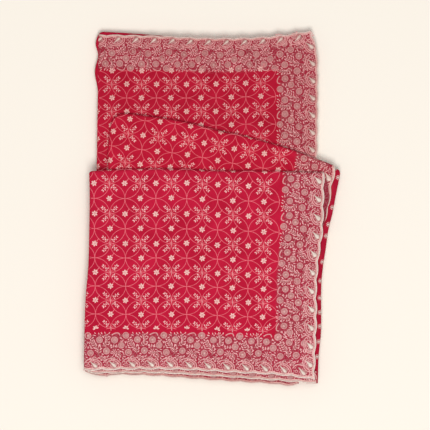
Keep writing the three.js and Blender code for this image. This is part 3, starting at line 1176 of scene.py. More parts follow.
# ---- The field's lattice ----
# threads: their width and height; a petal: its length, width and height; places are from a crossing's or a
# flower's middle, and all are in millimetres
CIRCLE_THREAD = (0.9, 0.3)
CIRCLE_STEPS = 41
CROSSING, CROSSING_THREAD = np.array([[0.2, -2.6], [0.0, 0.0], [-0.2, 2.6]]), (1.25, 0.4)
SPRIG_RIB, RIB_THREAD = np.array([[1.0], [5.0], [9.6]]), (0.8, 0.3)
# how far out from the crossing, the spread to each side in degrees, and the length of a sprig's leaves
SPRIG_LEAVES = ((4.9, 74, 3.3), (5.8, 18, 3.0), (9.2, 84, 2.9), (10.2, 28, 3.5))
SPRIG_LEAF_WIDTH = 0.64  # against its length
PETALS, PETAL = 6, (3.8, 2.9, 0.6)
FLOWER_STEM, STEM_THREAD = np.array([[1.9, 2.2], [3.4, 3.8], [5.1, 6.4]]), (1.15, 0.4)


@dataclass
class Lattice:
    """The field's interlocking circles, with sprigs where four meet and a flower in each; millimetres.

    first is the place of the first sprig, which columns and rows are counted from. column is the step from
    one column to the next, and rows gives how far down the first rows are. inside gives the first and last
    column and row that the field reaches. bow gives how far the rows rise, at which column, and how many
    columns to each side of it, and taper how much closer the columns come for each millimetre down.
    """

    stretch: Stretch
    first: tuple[float, float]
    column: tuple[float, float]
    rows: tuple[float, ...]
    inside: tuple[float, float, float, float]
    row_slant: float = 0.0
    bow: tuple[float, float, float] = (0.0, 2.5, 2.9)
    taper: float = 0.0
    columns_sewn: tuple[int, int] = (-1, 7)
    rows_sewn: tuple[int, int] = (-1, 7)

    def place(self, i: np.ndarray, j: np.ndarray) -> np.ndarray:
        """Give the flat places of lattice places.

        Args:
            i: Columns.
            j: Rows.

        Returns:
            The flat places.
        """
        i, j = np.asarray(i, float), np.asarray(j, float)
        known = len(self.rows) - 1
        down = np.interp(j, np.arange(known + 1), self.rows)
        down = down + np.minimum(j, 0) * (self.rows[1] - self.rows[0])
        down = down + np.maximum(j - known, 0) * (self.rows[-1] - self.rows[-2])
        x = self.first[0] + i * self.column[0] - down * (self.row_slant + self.taper * (i - 2.5))
        rise, middle, reach = self.bow
        rise = rise * (1 + np.cos(np.clip((i - middle) / reach, -1, 1) * math.pi)) / 2
        return np.stack([x, self.first[1] + i * self.column[1] - down + rise], -1)

    def holds(self, i: np.ndarray, j: np.ndarray, slip: float = 0.01) -> np.ndarray:
        """Say which lattice places are in the field.

        Args:
            i: Columns.
            j: Rows.
            slip: How far past the field's edge still counts, in columns or rows.

        Returns:
            True for those in the field.
        """
        i, j = np.asarray(i), np.asarray(j)
        low_i, high_i, low_j, high_j = self.inside
        return (low_i - slip <= i) & (i <= high_i + slip) & (low_j - slip <= j) & (j <= high_j + slip)

    def sew(self, threads: Threads) -> None:
        """Sew the lattice.

        Args:
            threads: The stretch's threads.
        """
        draw = np.random.default_rng(self.stretch.seed + 40)
        for i in range(*self.columns_sewn):
            for j in range(*self.rows_sewn):
                for ci, cj in ((i + 0.5, j), (i, j + 0.5)):
                    self.sew_circle(threads.lines, ci, cj)
                    if self.holds(ci, cj, 0.0) and ci < self.inside[1] - 0.2:
                        self.sew_flower(threads, ci, cj, draw)
                if self.holds(i, j, 0.1):
                    self.sew_sprigs(threads, i, j, draw)

    def sew_circle(self, lines: Needlework, ci: float, cj: float) -> None:
        """Sew one circle, leaving out what the border covers.

        Args:
            lines: The thread.
            ci: The column of its middle.
            cj: The row of its middle.
        """
        turn = np.linspace(0, 2 * math.pi, CIRCLE_STEPS)
        i, j = ci + 0.5 * np.cos(turn), cj + 0.5 * np.sin(turn)
        for run in unbroken(self.holds(i, j)):
            lines.thread(self.place(i[run], j[run]), *CIRCLE_THREAD)

    def sew_sprigs(self, threads: Threads, i: int, j: int, draw: np.random.Generator) -> None:
        """Sew the four leaf clusters round a crossing.

        Args:
            threads: The stretch's threads.
            i: Its column.
            j: Its row.
            draw: The source of small differences.
        """
        centre = self.place(i, j)
        leaf, sprigs = threads.kit.leaf, threads.flowers
        sprigs.couch(centre + CROSSING, *CROSSING_THREAD)
        for di, dj in ((1, 1), (1, -1), (-1, 1), (-1, -1)):
            if not self.holds(i + 0.25 * di, j + 0.25 * dj):
                continue
            out = self.place(i + 0.5 * di, j + 0.5 * dj) - centre
            angle = math.atan2(out[1], out[0]) + draw.normal(0, 0.04)
            threads.lines.couch(centre + way(angle) * SPRIG_RIB, *RIB_THREAD)
            for reach, spread, size in SPRIG_LEAVES:
                for hand in (1, -1) if spread else (1,):
                    turn = angle + hand * math.radians(spread) * draw.uniform(0.85, 1.15)
                    grown = size * draw.uniform(0.88, 1.08)
                    size_of_leaf = (grown, grown * SPRIG_LEAF_WIDTH, 0.5)
                    sprigs.stitch(leaf, centre + way(angle) * reach, turn, size_of_leaf)

    def sew_flower(self, threads: Threads, i: float, j: float, draw: np.random.Generator) -> None:
        """Sew a small flower on a bent stem, as far as the border leaves it bare.

        Args:
            threads: The stretch's threads.
            i: Its column.
            j: Its row.
            draw: The source of small differences.
        """
        centre = self.place(i, j) + draw.normal(0, 0.25, 2)
        start = draw.uniform(0, 1)
        row = float(np.linalg.norm(self.place(i, j) - self.place(i, j - 1)))
        bare = (self.inside[3] - j) * row
        for k in range(PETALS):
            turn = start + k * math.pi / 3
            if -PETAL[0] * math.sin(turn) < bare:
                threads.petals.stitch(threads.kit.leaf, centre + way(turn) * 0.3, turn, PETAL)
        threads.petals.stitch(threads.kit.knot, centre, 0, (0.9, 0.9, 0.6))
        threads.lines.couch(centre + FLOWER_STEM, *STEM_THREAD)


# ---- The borders' charts ----
class Motif(Enum):
    """The motifs of the charts."""

    ROSE = "rose"
    FAN = "fan"
    SPRIG = "sprig"
    LEAF = "leaf"
    LINE = "line"
    DROP = "drop"


@dataclass(frozen=True)
class Charted:
    """One motif of a chart; millimetres.

    Its path is one or more places, each how far in from the hem and how far along it. Degrees turn from
    inwards to along. Only a fan has a count and a spread.
    """

    motif: Motif
    path: Rows
    size: float = 4.4
    degrees: float = 0.0
    count: int = 5
    spread: float = 110.0


@dataclass(frozen=True)
class Chart:
    """A charted repeat of a border, between two distances from the hem; millimetres."""

    motifs: tuple[Charted, ...]
    low: float
    high: float
    repeat: float
    leaves: tuple[float, float]

    CELL = 0.3  # of the grid that bare places are found on
    TRIES = 900  # for each size of small leaf
    SIZES = 5

    def traces(self, row: Charted) -> np.ndarray:
        """Say what a motif covers.

        Args:
            row: The motif.

        Returns:
            Rows of a place inwards, a place along and a radius.
        """
        a, b = row.path[0]
        turn, half = math.radians(row.degrees), math.radians(row.spread / 2)
        if row.motif is Motif.ROSE:
            return np.array([[a, b, row.size + 0.9]])
        if row.motif is Motif.LEAF:
            steps = np.linspace(0, 1, 4)[:, None] * row.size * way(turn)
            return np.column_stack([steps + (a, b), np.full(4, 1.05)])
        if row.motif is Motif.FAN:
            turns = np.linspace(turn - half, turn + half, row.count)
            reaches = np.linspace(0.2, 1.0, 5) * row.size
            out = [(t, r) for t in turns for r in reaches]
            return np.array([[a + r * math.cos(t), b + r * math.sin(t), 0.85] for t, r in out])
        line = Line(row.path)
        places = line.place(np.linspace(0, 1, max(round(line.length), 4)))
        wide = 1.6 if row.motif is Motif.LINE else row.size * 0.62
        return np.column_stack([places, np.full(len(places), wide)])

    def filled(self, seed: int) -> list[Charted]:
        """Set small leaves into the chart's bare places.

        Args:
            seed: The seed of the draws.

        Returns:
            All motifs, with the small leaves.
        """
        draw = np.random.default_rng(seed)
        wide, long = round((self.high - self.low) / self.CELL), round(self.repeat / self.CELL)
        steps = [(np.arange(count) + 0.5) * self.CELL for count in (wide, long)]
        a, b = np.meshgrid(self.low + steps[0], steps[1], indexing="ij")
        taken = np.zeros(a.shape, bool)

        def mark(traces: np.ndarray) -> None:
            """Mark the cells that traces cover.

            Args:
                traces: The traces.
            """
            for p, q, radius in traces:
                aside = (b - q + self.repeat / 2) % self.repeat - self.repeat / 2
                taken[(a - p) ** 2 + aside**2 < radius**2] = True

        for row in self.motifs:
            mark(self.traces(row))
        rows = list(self.motifs)
        roses = np.array([row.path[0] for row in self.motifs if row.motif in (Motif.ROSE, Motif.FAN)])
        for size in np.linspace(*self.leaves[::-1], self.SIZES):
            for _ in range(self.TRIES):
                p, q = draw.uniform(self.low, self.high), draw.uniform(0, self.repeat)
                away = (p, q) - roses
                away[:, 1] = (away[:, 1] + self.repeat / 2) % self.repeat - self.repeat / 2
                nearest = away[np.argmin((away**2).sum(1))]
                turn = math.degrees(math.atan2(nearest[1], nearest[0])) + draw.normal(0, 35)
                leaf = Charted(Motif.LEAF, [(p, q)], size * draw.uniform(0.9, 1.1), turn)
                traces = self.traces(leaf)
                cells = ((traces[:, :2] - (self.low, 0)) / self.CELL).astype(int)
                if (cells[:, 0] < 0).any() or (cells[:, 0] >= wide).any():
                    continue
                if not taken[cells[:, 0], cells[:, 1] % long].any():
                    mark(traces)
                    rows.append(leaf)
        return rows


FLORAL = Chart(
    motifs=(
        *(Charted(Motif.ROSE, [place]) for place in (
            (46.0, 0.0), (23.0, 3.0), (40.2, 13.9), (25.4, 22.2), (39.9, 32.0), (32.6, 40.0))),
        Charted(Motif.SPRIG, [(21.3, 12.8), (27.8, 12.8), (31.6, 9.2), (38.4, 4.4)], 4.6),
        Charted(Motif.SPRIG, [(19.4, 13.6), (16.4, 16.6), (14.0, 20.4)], 3.4),
        Charted(Motif.SPRIG, [(21.4, 39.4), (22.2, 35.6), (23.2, 31.4)], 3.0),
        Charted(Motif.FAN, [(23.2, 33.2)], 6.8, -90, 6, 170),
        Charted(Motif.SPRIG, [(20.2, 40.2), (17.6, 37.6), (15.2, 35.8)], 2.8),
        Charted(Motif.SPRIG, [(32.0, 17.6), (36.4, 22.6), (42.0, 23.2), (47.8, 21.2)], 4.0),
        Charted(Motif.LEAF, [(31.0, 16.4)], 4.4, -60), Charted(Motif.LEAF, [(33.6, 15.8)], 3.8, -88),
        Charted(Motif.LEAF, [(47.0, 17.6)], 4.2, -30), Charted(Motif.LEAF, [(47.2, 24.4)], 4.2, 35),
        Charted(Motif.LEAF, [(47.6, 9.4)], 3.6, -30), Charted(Motif.LEAF, [(46.6, 13.4)], 3.6, -10),
        Charted(Motif.LINE, [(46.4, 28.6), (48.8, 32.4), (49.0, 37.0), (45.6, 38.4)]),
        Charted(Motif.LEAF, [(43.4, 38.0)], 3.0, 100), Charted(Motif.LEAF, [(39.2, 40.6)], 3.2, 80),
        Charted(Motif.LEAF, [(32.2, 26.0)], 3.4, 60), Charted(Motif.LEAF, [(17.0, 41.6)], 3.8, 170),
        Charted(Motif.SPRIG, [(19.6, 8.8), (16.4, 7.6), (14.4, 4.6)], 2.8),
        Charted(Motif.SPRIG, [(16.6, 26.4), (15.2, 30.8)], 3.0),
    ),
    low=14.6, high=48.6, repeat=45.6, leaves=(2.6, 5.2))
PAISLEY = Chart(
    motifs=(
        Charted(Motif.LINE, [(9.6, 1.6), (14.0, 5.4), (14.9, 11.0), (13.4, 17.4), (9.4, 22.0), (4.6, 22.6)]),
        Charted(Motif.LINE, [(8.6, 6.0), (12.2, 8.6), (12.4, 14.2), (9.8, 18.8), (6.4, 20.6), (3.4, 18.8)]),
        Charted(Motif.DROP, [(3.9, 16.8), (5.9, 14.6), (8.8, 11.6), (11.4, 9.0)], 2.9),
        Charted(Motif.FAN, [(6.4, 6.2)], 2.9, 0, 7, 308),
        Charted(Motif.LEAF, [(3.4, 9.6)], 3.2, 60), Charted(Motif.LEAF, [(8.4, 17.6)], 3.0, 100),
        Charted(Motif.LEAF, [(3.2, 1.2)], 2.6, 40),
    ),
    low=2.8, high=14.2, repeat=22.8, leaves=(1.9, 2.8))
DROP_PLACES = (0.0, 0.08, 0.22, 0.36, 0.52, 0.70, 1.0)  # along a paisley's satin drop, from its round end
DROP_WIDTHS = (2.6, 6.2, 7.8, 7.0, 4.8, 2.4, 0.8)
DROP_STEPS = 13
EDGE_THREADS = ((0.4, 1.7, 0.75, "cord"), (2.0, 1.6, 0.4, "petals"))  # inset, width, height and whose thread
FILL_SEED = 5
SPRIG_SWELL, SPRIG_GAP = 1.14, 2.7  # leaflets against the chart's size, and how far apart they are
LEAF_WIDTH = 1.7  # of a leaf on its own
OUTLINE_THREAD = (1.5, 0.55)  # width and height


@dataclass
class Border:
    """A border along one hem: a floral repeat, a row of paisleys and the corded edge; millimetres.

    inner gives the places on the border's inner edge that belong to the hem's two ends. rose gives where
    along the hem one of the chart's first roses is, and flip turns the chart so that it runs back along the
    hem. The flowers are sewn from start, counted from the hem's start, to end, counted from its end, and the
    paisleys from paisleys_start to paisleys_end. drop is the width of the paisleys' satin drops against the
    chart's, and bow is how far the inner edge rises.
    """

    stretch: Stretch
    side: Side
    inner: tuple[tuple[float, float], tuple[float, float]]
    rose: float = 0.0
    repeat: float = 45.6
    flip: bool = False
    start: float = -9.0
    end: float = 9.0
    paisleys_start: float = -9.0
    paisleys_end: float = 9.0
    floral: bool = True
    drop: float = 1.0
    bow: float = 0.0

    WIDTH = 51.0  # how far in from the hem the inner edge is on the charts

    def place(self, inwards: np.ndarray, along: np.ndarray) -> np.ndarray:
        """Give the flat places of border places, stretched to fit between the hem and the inner edge.

        Args:
            inwards: How far in from the hem they are.
            along: How far along it.

        Returns:
            The flat places.
        """
        line = self.stretch.lines[self.side]
        u = np.asarray(along, float) / line.length
        hem = line.place(u)
        a, b = (np.array(p) for p in self.inner)
        rise = self.bow * np.sin(math.pi * np.clip(u, 0, 1))
        edge = a + (b - a) * u[..., None] + np.stack([0 * u, rise], -1)
        return hem + (edge - hem) * (np.asarray(inwards, float) / self.WIDTH)[..., None]

    def sew(self, threads: Threads) -> None:
        """Sew the whole border.

        Args:
            threads: The stretch's threads.
        """
        length = self.stretch.lines[self.side].length
        draw = np.random.default_rng(self.stretch.seed + 7 * list(Side).index(self.side))
        if self.floral:
            scale = self.repeat / FLORAL.repeat * (-1 if self.flip else 1)
            self.sew_chart(threads, FLORAL, self.rose, scale, (self.start, length + self.end), draw)
        pitch = self.stretch.pitch(self.side)
        first = self.stretch.scallop_phase.get(self.side, 0.0)
        scale = pitch / PAISLEY.repeat * (-1 if self.flip else 1)
        reach = (self.paisleys_start, length + self.paisleys_end)
        self.sew_chart(threads, PAISLEY, first, scale, reach, draw)
        u = np.linspace(-0.04, 1.04, max(round(length / 1.5), 4))
        for inwards, width, height, thread in EDGE_THREADS:
            getattr(threads, thread).thread(self.stretch.hem(self.side, u, inwards), width, height)

    def sew_chart(
        self, threads: Threads, chart: Chart, origin: float, scale: float, reach: tuple[float, float],
        draw: np.random.Generator,
    ) -> None:
        """Sew a chart's repeats.

        Args:
            threads: The stretch's threads.
            chart: The chart.
            origin: Where along the hem one repeat starts.
            scale: The sewn length of one of the chart's millimetres along the hem, below zero to run back.
            reach: Where along the hem the chart starts and ends.
            draw: The source of small differences.
        """
        step = chart.repeat * scale
        bounds = sorted(((reach[0] - origin) / step, (reach[1] - origin) / step))
        rows = chart.filled(FILL_SEED)
        for repeat in range(math.floor(bounds[0]) - 1, math.ceil(bounds[1]) + 1):
            for row in rows:
                path = np.array([(a, origin + repeat * step + b * scale) for a, b in row.path])
                if reach[0] <= path[:, 1].mean() <= reach[1]:
                    self.sew_motif(threads, row, path, math.copysign(1, scale), draw)

    def sew_motif(
        self, threads: Threads, row: Charted, path: np.ndarray, forward: float, draw: np.random.Generator
    ) -> None:
        """Sew one motif.

        Args:
            threads: The stretch's threads.
            row: The motif.
            path: Its places, each inwards and along.
            forward: 1 where the chart runs along the hem, and -1 where it runs back.
            draw: The source of small differences.
        """
        spots = self.place(path[:, 0], path[:, 1])
        ahead = path[0] + (math.cos(math.radians(row.degrees)), forward * math.sin(math.radians(row.degrees)))
        out = self.place(ahead[:1], ahead[1:])[0] - spots[0]
        angle = math.atan2(out[1], out[0])
        if row.motif is Motif.ROSE:
            threads.sew_rose(spots[0], row.size * draw.uniform(0.93, 1.03), draw.uniform(0, 1))
        elif row.motif is Motif.FAN:
            threads.sew_fan(spots[0], angle, row.size, row.count, math.radians(row.spread), draw)
        elif row.motif is Motif.SPRIG:
            threads.sew_sprig(spots, row.size * SPRIG_SWELL, SPRIG_GAP)
        elif row.motif is Motif.LEAF:
            broad = LEAF_WIDTH / row.size * draw.uniform(0.9, 1.15)
            threads.sew_leaf(spots[0], angle, row.size, broad)
        elif row.motif is Motif.LINE:
            line = Line([tuple(p) for p in spots])
            count = max(round(line.length / 1.6), 4)
            threads.flowers.thread(line.place(np.linspace(0, 1, count)), *OUTLINE_THREAD)
        else:
            self.sew_drop(threads, Line([tuple(p) for p in spots]))

    def sew_drop(self, threads: Threads, line: Line) -> None:
        """Sew a paisley's satin drop on its darker bed.

        Args:
            threads: The stretch's threads.
            line: The drop's middle, from its round end.
        """
        share = np.linspace(0, 1, DROP_STEPS)
        wide = np.interp(share, DROP_PLACES, DROP_WIDTHS)
        bed = line.place(np.linspace(-0.06, 1.03, DROP_STEPS))
        threads.ground.couch(bed, wide * 1.25 + 0.5, 0.12 + 0.05 * wide, 4)
        if self.drop:
            threads.bright.couch(line.place(share), wide * 0.8 * self.drop, 0.2 + 0.12 * wide, 6)


# ---- The layers inside ----
HARMONICS = (2, 3, 5, 9, 14)  # the waves in a layer's edge, to one round
GROOVES = ((0.0, 0.85), (0.16, 0.25), (0.5, 0.0), (0.84, 0.25))  # shares of a layer's height, and how far in


@dataclass
class Pile:
    """A pile of folded layers with soft uneven edges; millimetres.

    inset gives how far in from the outline a side's layers lie, layer is how thick one layer is, and around
    how many points go round the outline.
    """

    outline: dict[Side, Rows]
    low: float
    high: float
    inset: dict[Side, float] = field(default_factory=dict)
    layer: float = 1.05
    seed: int = 3
    around: int = 220

    def border(self) -> tuple[np.ndarray, np.ndarray, list[Side]]:
        """Walk once round the outline.

        Returns:
            Points of the outline, their outward normals, and each one's side.
        """
        points, normals, sides = [], [], []
        lengths = {side: Line(rows).length for side, rows in self.outline.items()}
        total = sum(lengths.values())
        for side, back in ((Side.BOTTOM, False), (Side.RIGHT, False), (Side.TOP, True), (Side.LEFT, True)):
            line = Line(self.outline[side])
            count = max(round(self.around * lengths[side] / total), 3)
            u = np.arange(count) / count
            u = 1 - u if back else u
            points.append(line.place(u))
            normals.append(outward_of(side, line.run(u)))
            sides += [side] * count
        normals = np.vstack(normals)
        soft = normals + np.roll(normals, 1, 0) + np.roll(normals, -1, 0)
        return np.vstack(points), soft / np.linalg.norm(soft, axis=1, keepdims=True), sides

    def mesh(self) -> tuple[np.ndarray, list]:
        """Stack the layers, and close them at the top and the bottom.

        Returns:
            The pile's points and faces.
        """
        points, normals, sides = self.border()
        draw = np.random.default_rng(self.seed)
        base = np.array([self.inset.get(side, 0.0) for side in sides])
        n = len(points)
        angle = np.arange(n) * 2 * math.pi / n
        count = max(round((self.high - self.low) / self.layer), 1)
        height = (self.high - self.low) / count
        rings = []
        for k in range(count):
            back = draw.uniform(0, 1.5)
            for harmonic in HARMONICS:
                back = back + draw.uniform(0, 0.45) * np.sin(harmonic * angle + draw.uniform(0, 2 * math.pi))
            back = np.maximum(back, 0)
            for share, groove in GROOVES:
                rings.append((self.low + (k + share) * height, base + back + groove))
        rings.append((self.high, rings[-1][1] + 0.8))
        layers = []
        for z, inset in rings:
            p = points - normals * inset[:, None]
            layers.append(np.column_stack([p, z * (1 - slack_at(p[:, 0], p[:, 1]))]))
        middle = points.mean(0)
        hub = [[*middle, z * (1 - slack_at(*middle))] for z in (self.low, self.high - 0.6)]
        total = len(layers) * n
        faces = []
        for level in range(len(layers) - 1):
            for k in range(n):
                a, b = level * n + k, level * n + (k + 1) % n
                faces.append((a, b, b + n, a + n))
        for k in range(n):
            faces.append((total, (k + 1) % n, k))
            faces.append((total + 1, total - n + k, total - n + (k + 1) % n))
        return np.vstack([*layers, hub]), faces


CORD_SIDES, CORD_RADIUS, CORD_STEP = 5, 0.5, 3.2  # of the hidden hems' cords


def hem_edges(pile: Pile, name: str) -> bpy.types.Object:
    """Lay the cords of the hidden hems along a pile's right, top and bottom edges.

    Args:
        pile: The pile.
        name: The piece's name.

    Returns:
        The piece.
    """
    draw = np.random.default_rng(pile.seed + 60)
    turns = np.arange(CORD_SIDES) * 2 * math.pi / CORD_SIDES
    corners = np.array([[math.cos(a), math.sin(a)] for a in turns]) * CORD_RADIUS
    points, faces, start = [], [], 0
    count = max(round((pile.high - pile.low) / (2 * pile.layer)), 1)
    for side in (Side.RIGHT, Side.BOTTOM, Side.TOP):
        line = Line(pile.outline[side])
        inset = pile.inset.get(side, 0.0)
        for k in range(count):
            low, high = draw.uniform(0.01, 0.3), draw.uniform(0.7, 0.99)
            u = np.linspace(low, high, max(round(line.length * (high - low) / CORD_STEP), 4))
            normal = outward_of(side, line.run(u))
            scallops = 0.35 * np.abs(np.sin(u * line.length * math.pi / SCALLOP))
            out = scallops - 0.1 - inset + draw.uniform(-0.5, 0.2)
            p = line.place(u) + normal * out[:, None]
            z = pile.low + (k + 0.5) * 2 * pile.layer + 0.2 * np.sin(u * 9 + draw.uniform(0, 6))
            z = z * (1 - slack_at(p[:, 0], p[:, 1]))
            for q, aside, height in zip(p, normal, z):
                points.append(np.column_stack([q + corners[:, :1] * aside, height + corners[:, 1]]))
            last = start + (len(u) - 1) * CORD_SIDES
            for i in range(start, last, CORD_SIDES):
                for c in range(CORD_SIDES):
                    d = (c + 1) % CORD_SIDES
                    faces.append((i + c, i + d, i + CORD_SIDES + d, i + CORD_SIDES + c))
            faces.append(tuple(start + c for c in reversed(range(CORD_SIDES))))
            faces.append(tuple(last + c for c in range(CORD_SIDES)))
            start = last + CORD_SIDES
    obj = add_mesh(name, np.vstack(points), faces)
    select_only(obj)
    bpy.ops.object.mode_set(mode="EDIT")
    bpy.ops.mesh.select_all(action="SELECT")
    bpy.ops.mesh.normals_make_consistent(inside=False)
    bpy.ops.object.mode_set(mode="OBJECT")
    smooth(obj, 60)
    obj.data.materials.append(CORD_SILK.material())
    return obj


# ---- The saree ----
SCALE = 1.2  # millimetres to one step of the grid that the saree is laid out on
GRID_X, GRID_Y = 212.5, 208.3  # the grid's place at the saree's middle


def at(px: float, py: float) -> tuple[float, float]:
    """Turn a place of the layout grid into millimetres."""
    return (px - GRID_X) * SCALE, (GRID_Y - py) * SCALE


FRONT_OUTLINE = {
    Side.LEFT: [
        (-154.2, -194.8), (-154.2, -170), (-152.6, -112), (-149, -66), (-147.8, -20), (-147.4, 15),
        (-148, 44.4)],
    Side.TOP: [(-148, 44.4), (-106, 46.6), (-40, 46.8), (0, 44.9), (70, 44.4), (134.4, 43)],
    Side.RIGHT: [
        (122.6, -205.8), (123.8, -170), (125.2, -130), (124.9, -98), (127.6, -60), (132.4, -24), (134.4, 43)],
    Side.BOTTOM: [
        (-154.2, -194.8), (-98, -193.2), (-60, -193), (-20, -194.2), (30, -197.2), (80, -200),
        (122.6, -205.8)],
}
MIDDLE_OUTLINE = {
    Side.LEFT: [(-127, 24), (-125.6, 44), (-126, 64), (-124.8, 82), (-122.6, 99), (-118.2, 110.6)],
    Side.TOP: [
        (-118.2, 110.6), (-104, 113.6), (-67, 109.4), (-30, 103), (8, 93.3), (47, 84.4), (101, 68.6),
        (148, 50.9)],
    Side.RIGHT: [
        (118, -44), (126.6, -30), (133.6, -18.8), (137.8, -7), (140.6, 5), (143.8, 27), (146.8, 40),
        (148, 50.9)],
    Side.BOTTOM: [(-127, 24), (118, -44)],
}
UPPER_OUTLINE = {
    Side.LEFT: [(-139.8, 28), (-139.2, 70), (-138.6, 106), (-138, 150), (-137.6, 185), (-136.8, 209.2)],
    Side.TOP: [
        (-136.8, 209.2), (-100, 208.6), (-60, 207.4), (-20, 205.6), (20, 205), (58, 206.4), (90, 209.6),
        (118.8, 214.2)],
    Side.RIGHT: [(126.6, 28), (126.6, 70), (127.2, 130), (127, 178), (125, 194), (118.8, 214.2)],
    Side.BOTTOM: [(-139.8, 28), (126.6, 28)],
}
BLOUSE_OUTLINE = {
    Side.LEFT: [
        (-140, 30), (-138, 70), (-137.6, 134), (-141.9, 164), (-138, 184), (-141, 199), (-136.2, 213.2)],
    Side.TOP: [
        (-136.2, 213.2), (-100.8, 211.2), (-67, 208.6), (-30, 205), (20, 203.4), (70, 205), (112, 209)],
    Side.RIGHT: [(112, 30), (112, 209)],
    Side.BOTTOM: [(-140, 30), (112, 30)],
}
OUTER_RIGHT = [
    (126.8, -210.6), (127.8, -178), (130.7, -146), (130.8, -98), (132.6, -73), (136, -50), (139.4, -26),
    (144.4, -6), (147.8, 12), (151.4, 30), (153.5, 40.6), (153.4, 43.6), (152.2, 46), (149.8, 47.6)]
SECOND_RIGHT = [
    (118.5, -196), (121, -160), (123, -98), (125.4, -62), (130, -40), (138.2, 0), (140.6, 20), (134, 40)]
SECOND_BOTTOM = [(-150.4, -196.6), (-134, -198.2), (-74, -197.2), (-31, -199), (22, -202.4), (124.8, -210.4)]
THIRD_BOTTOM = [
    (-153.4, -197.6), (-140, -200.8), (-128, -203.4), (-118, -200.6), (-67, -202), (-10, -206.2),
    (37, -209.4), (70, -211.4), (91, -213.8), (104, -212)]
HEM_REACH = 14.0  # how far a strip reaches in under the stretch above it
# how far down the grid the right fold's sprays are, and the sizes of their leaves and knots
FOLD_SPRAYS = (177.5, 207.4, 224.5, 236, 262, 281, 298, 312.5, 326.5, 342, 357)
SPRAY_LEAVES, SPRAY_LEAF, SPRAY_KNOT = 9, (2.4, 1.5, 0.5), (2.0, 1.6, 0.45)

UPPER_PILE = Pile(
    outline={
        Side.LEFT: [
            (-138, -6), (-138, 30), (-136, 106), (-135.6, 134), (-136.4, 164), (-135.4, 187),
            (-133.6, 207.6)],
        Side.TOP: [(-133.6, 207.6), (-100, 207), (-60, 205), (0, 202), (58, 203.6), (115.6, 208.6)],
        Side.RIGHT: [(119, -6), (124.6, 30), (125.4, 66), (125.6, 130), (124.6, 180), (115.6, 208.6)],
        Side.BOTTOM: [(-138, -6), (119, -6)],
    },
    low=0.0, high=11.6, inset={Side.LEFT: 1.4, Side.TOP: 1.4}, seed=3)
LOWER_PILE = Pile(
    outline={
        Side.LEFT: [(-152, -194), (-151, -112), (-147.4, -66), (-146, -20), (-145.4, 20)],
        Side.TOP: [(-145.4, 20), (0, 24), (120, 38), (148.6, 42.6)],
        Side.RIGHT: [
            (124.8, -207.6), (126, -178), (128.6, -146), (128.8, -98), (134, -50), (142, -6), (145.6, 12),
            (148.6, 42.6)],
        Side.BOTTOM: [
            (-152, -194), (-128, -198.6), (-60, -198.6), (30, -203.6), (90, -208.4), (124.8, -207.6)],
    },
    low=0.0, high=18.8, inset={Side.RIGHT: 0.9, Side.BOTTOM: 0.6}, seed=4)
MIDDLE_PILE = Pile(
    outline={
        Side.LEFT: [(-122.6, -30), (-124.4, 44), (-124.4, 64), (-123.4, 82), (-121, 98), (-116.6, 108.2)],
        Side.TOP: [
            (-116.6, 108.2), (-67, 107.4), (-30, 101), (8, 91.3), (47, 82.4), (101, 66.6), (142, 51)],
        Side.RIGHT: [(134, -30), (141, -4), (146, 14), (149, 32), (142, 51)],
        Side.BOTTOM: [(-122.6, -30), (134, -30)],
    },
    low=14.4, high=18.6, inset={Side.LEFT: 2.2, Side.TOP: 2.2, Side.RIGHT: 1.6}, seed=5)
FRONT_PILE = Pile(
    outline=FRONT_OUTLINE, low=20.9, high=25.4,
    inset={Side.LEFT: 3.0, Side.TOP: 3.0, Side.RIGHT: 2.4, Side.BOTTOM: 2.0}, seed=6)
NECK_PILE = Pile(
    outline=FRONT_OUTLINE, low=18.0, high=21.2,
    inset={Side.LEFT: 4.5, Side.TOP: 92.0, Side.RIGHT: 16.0, Side.BOTTOM: 6.0}, seed=7)


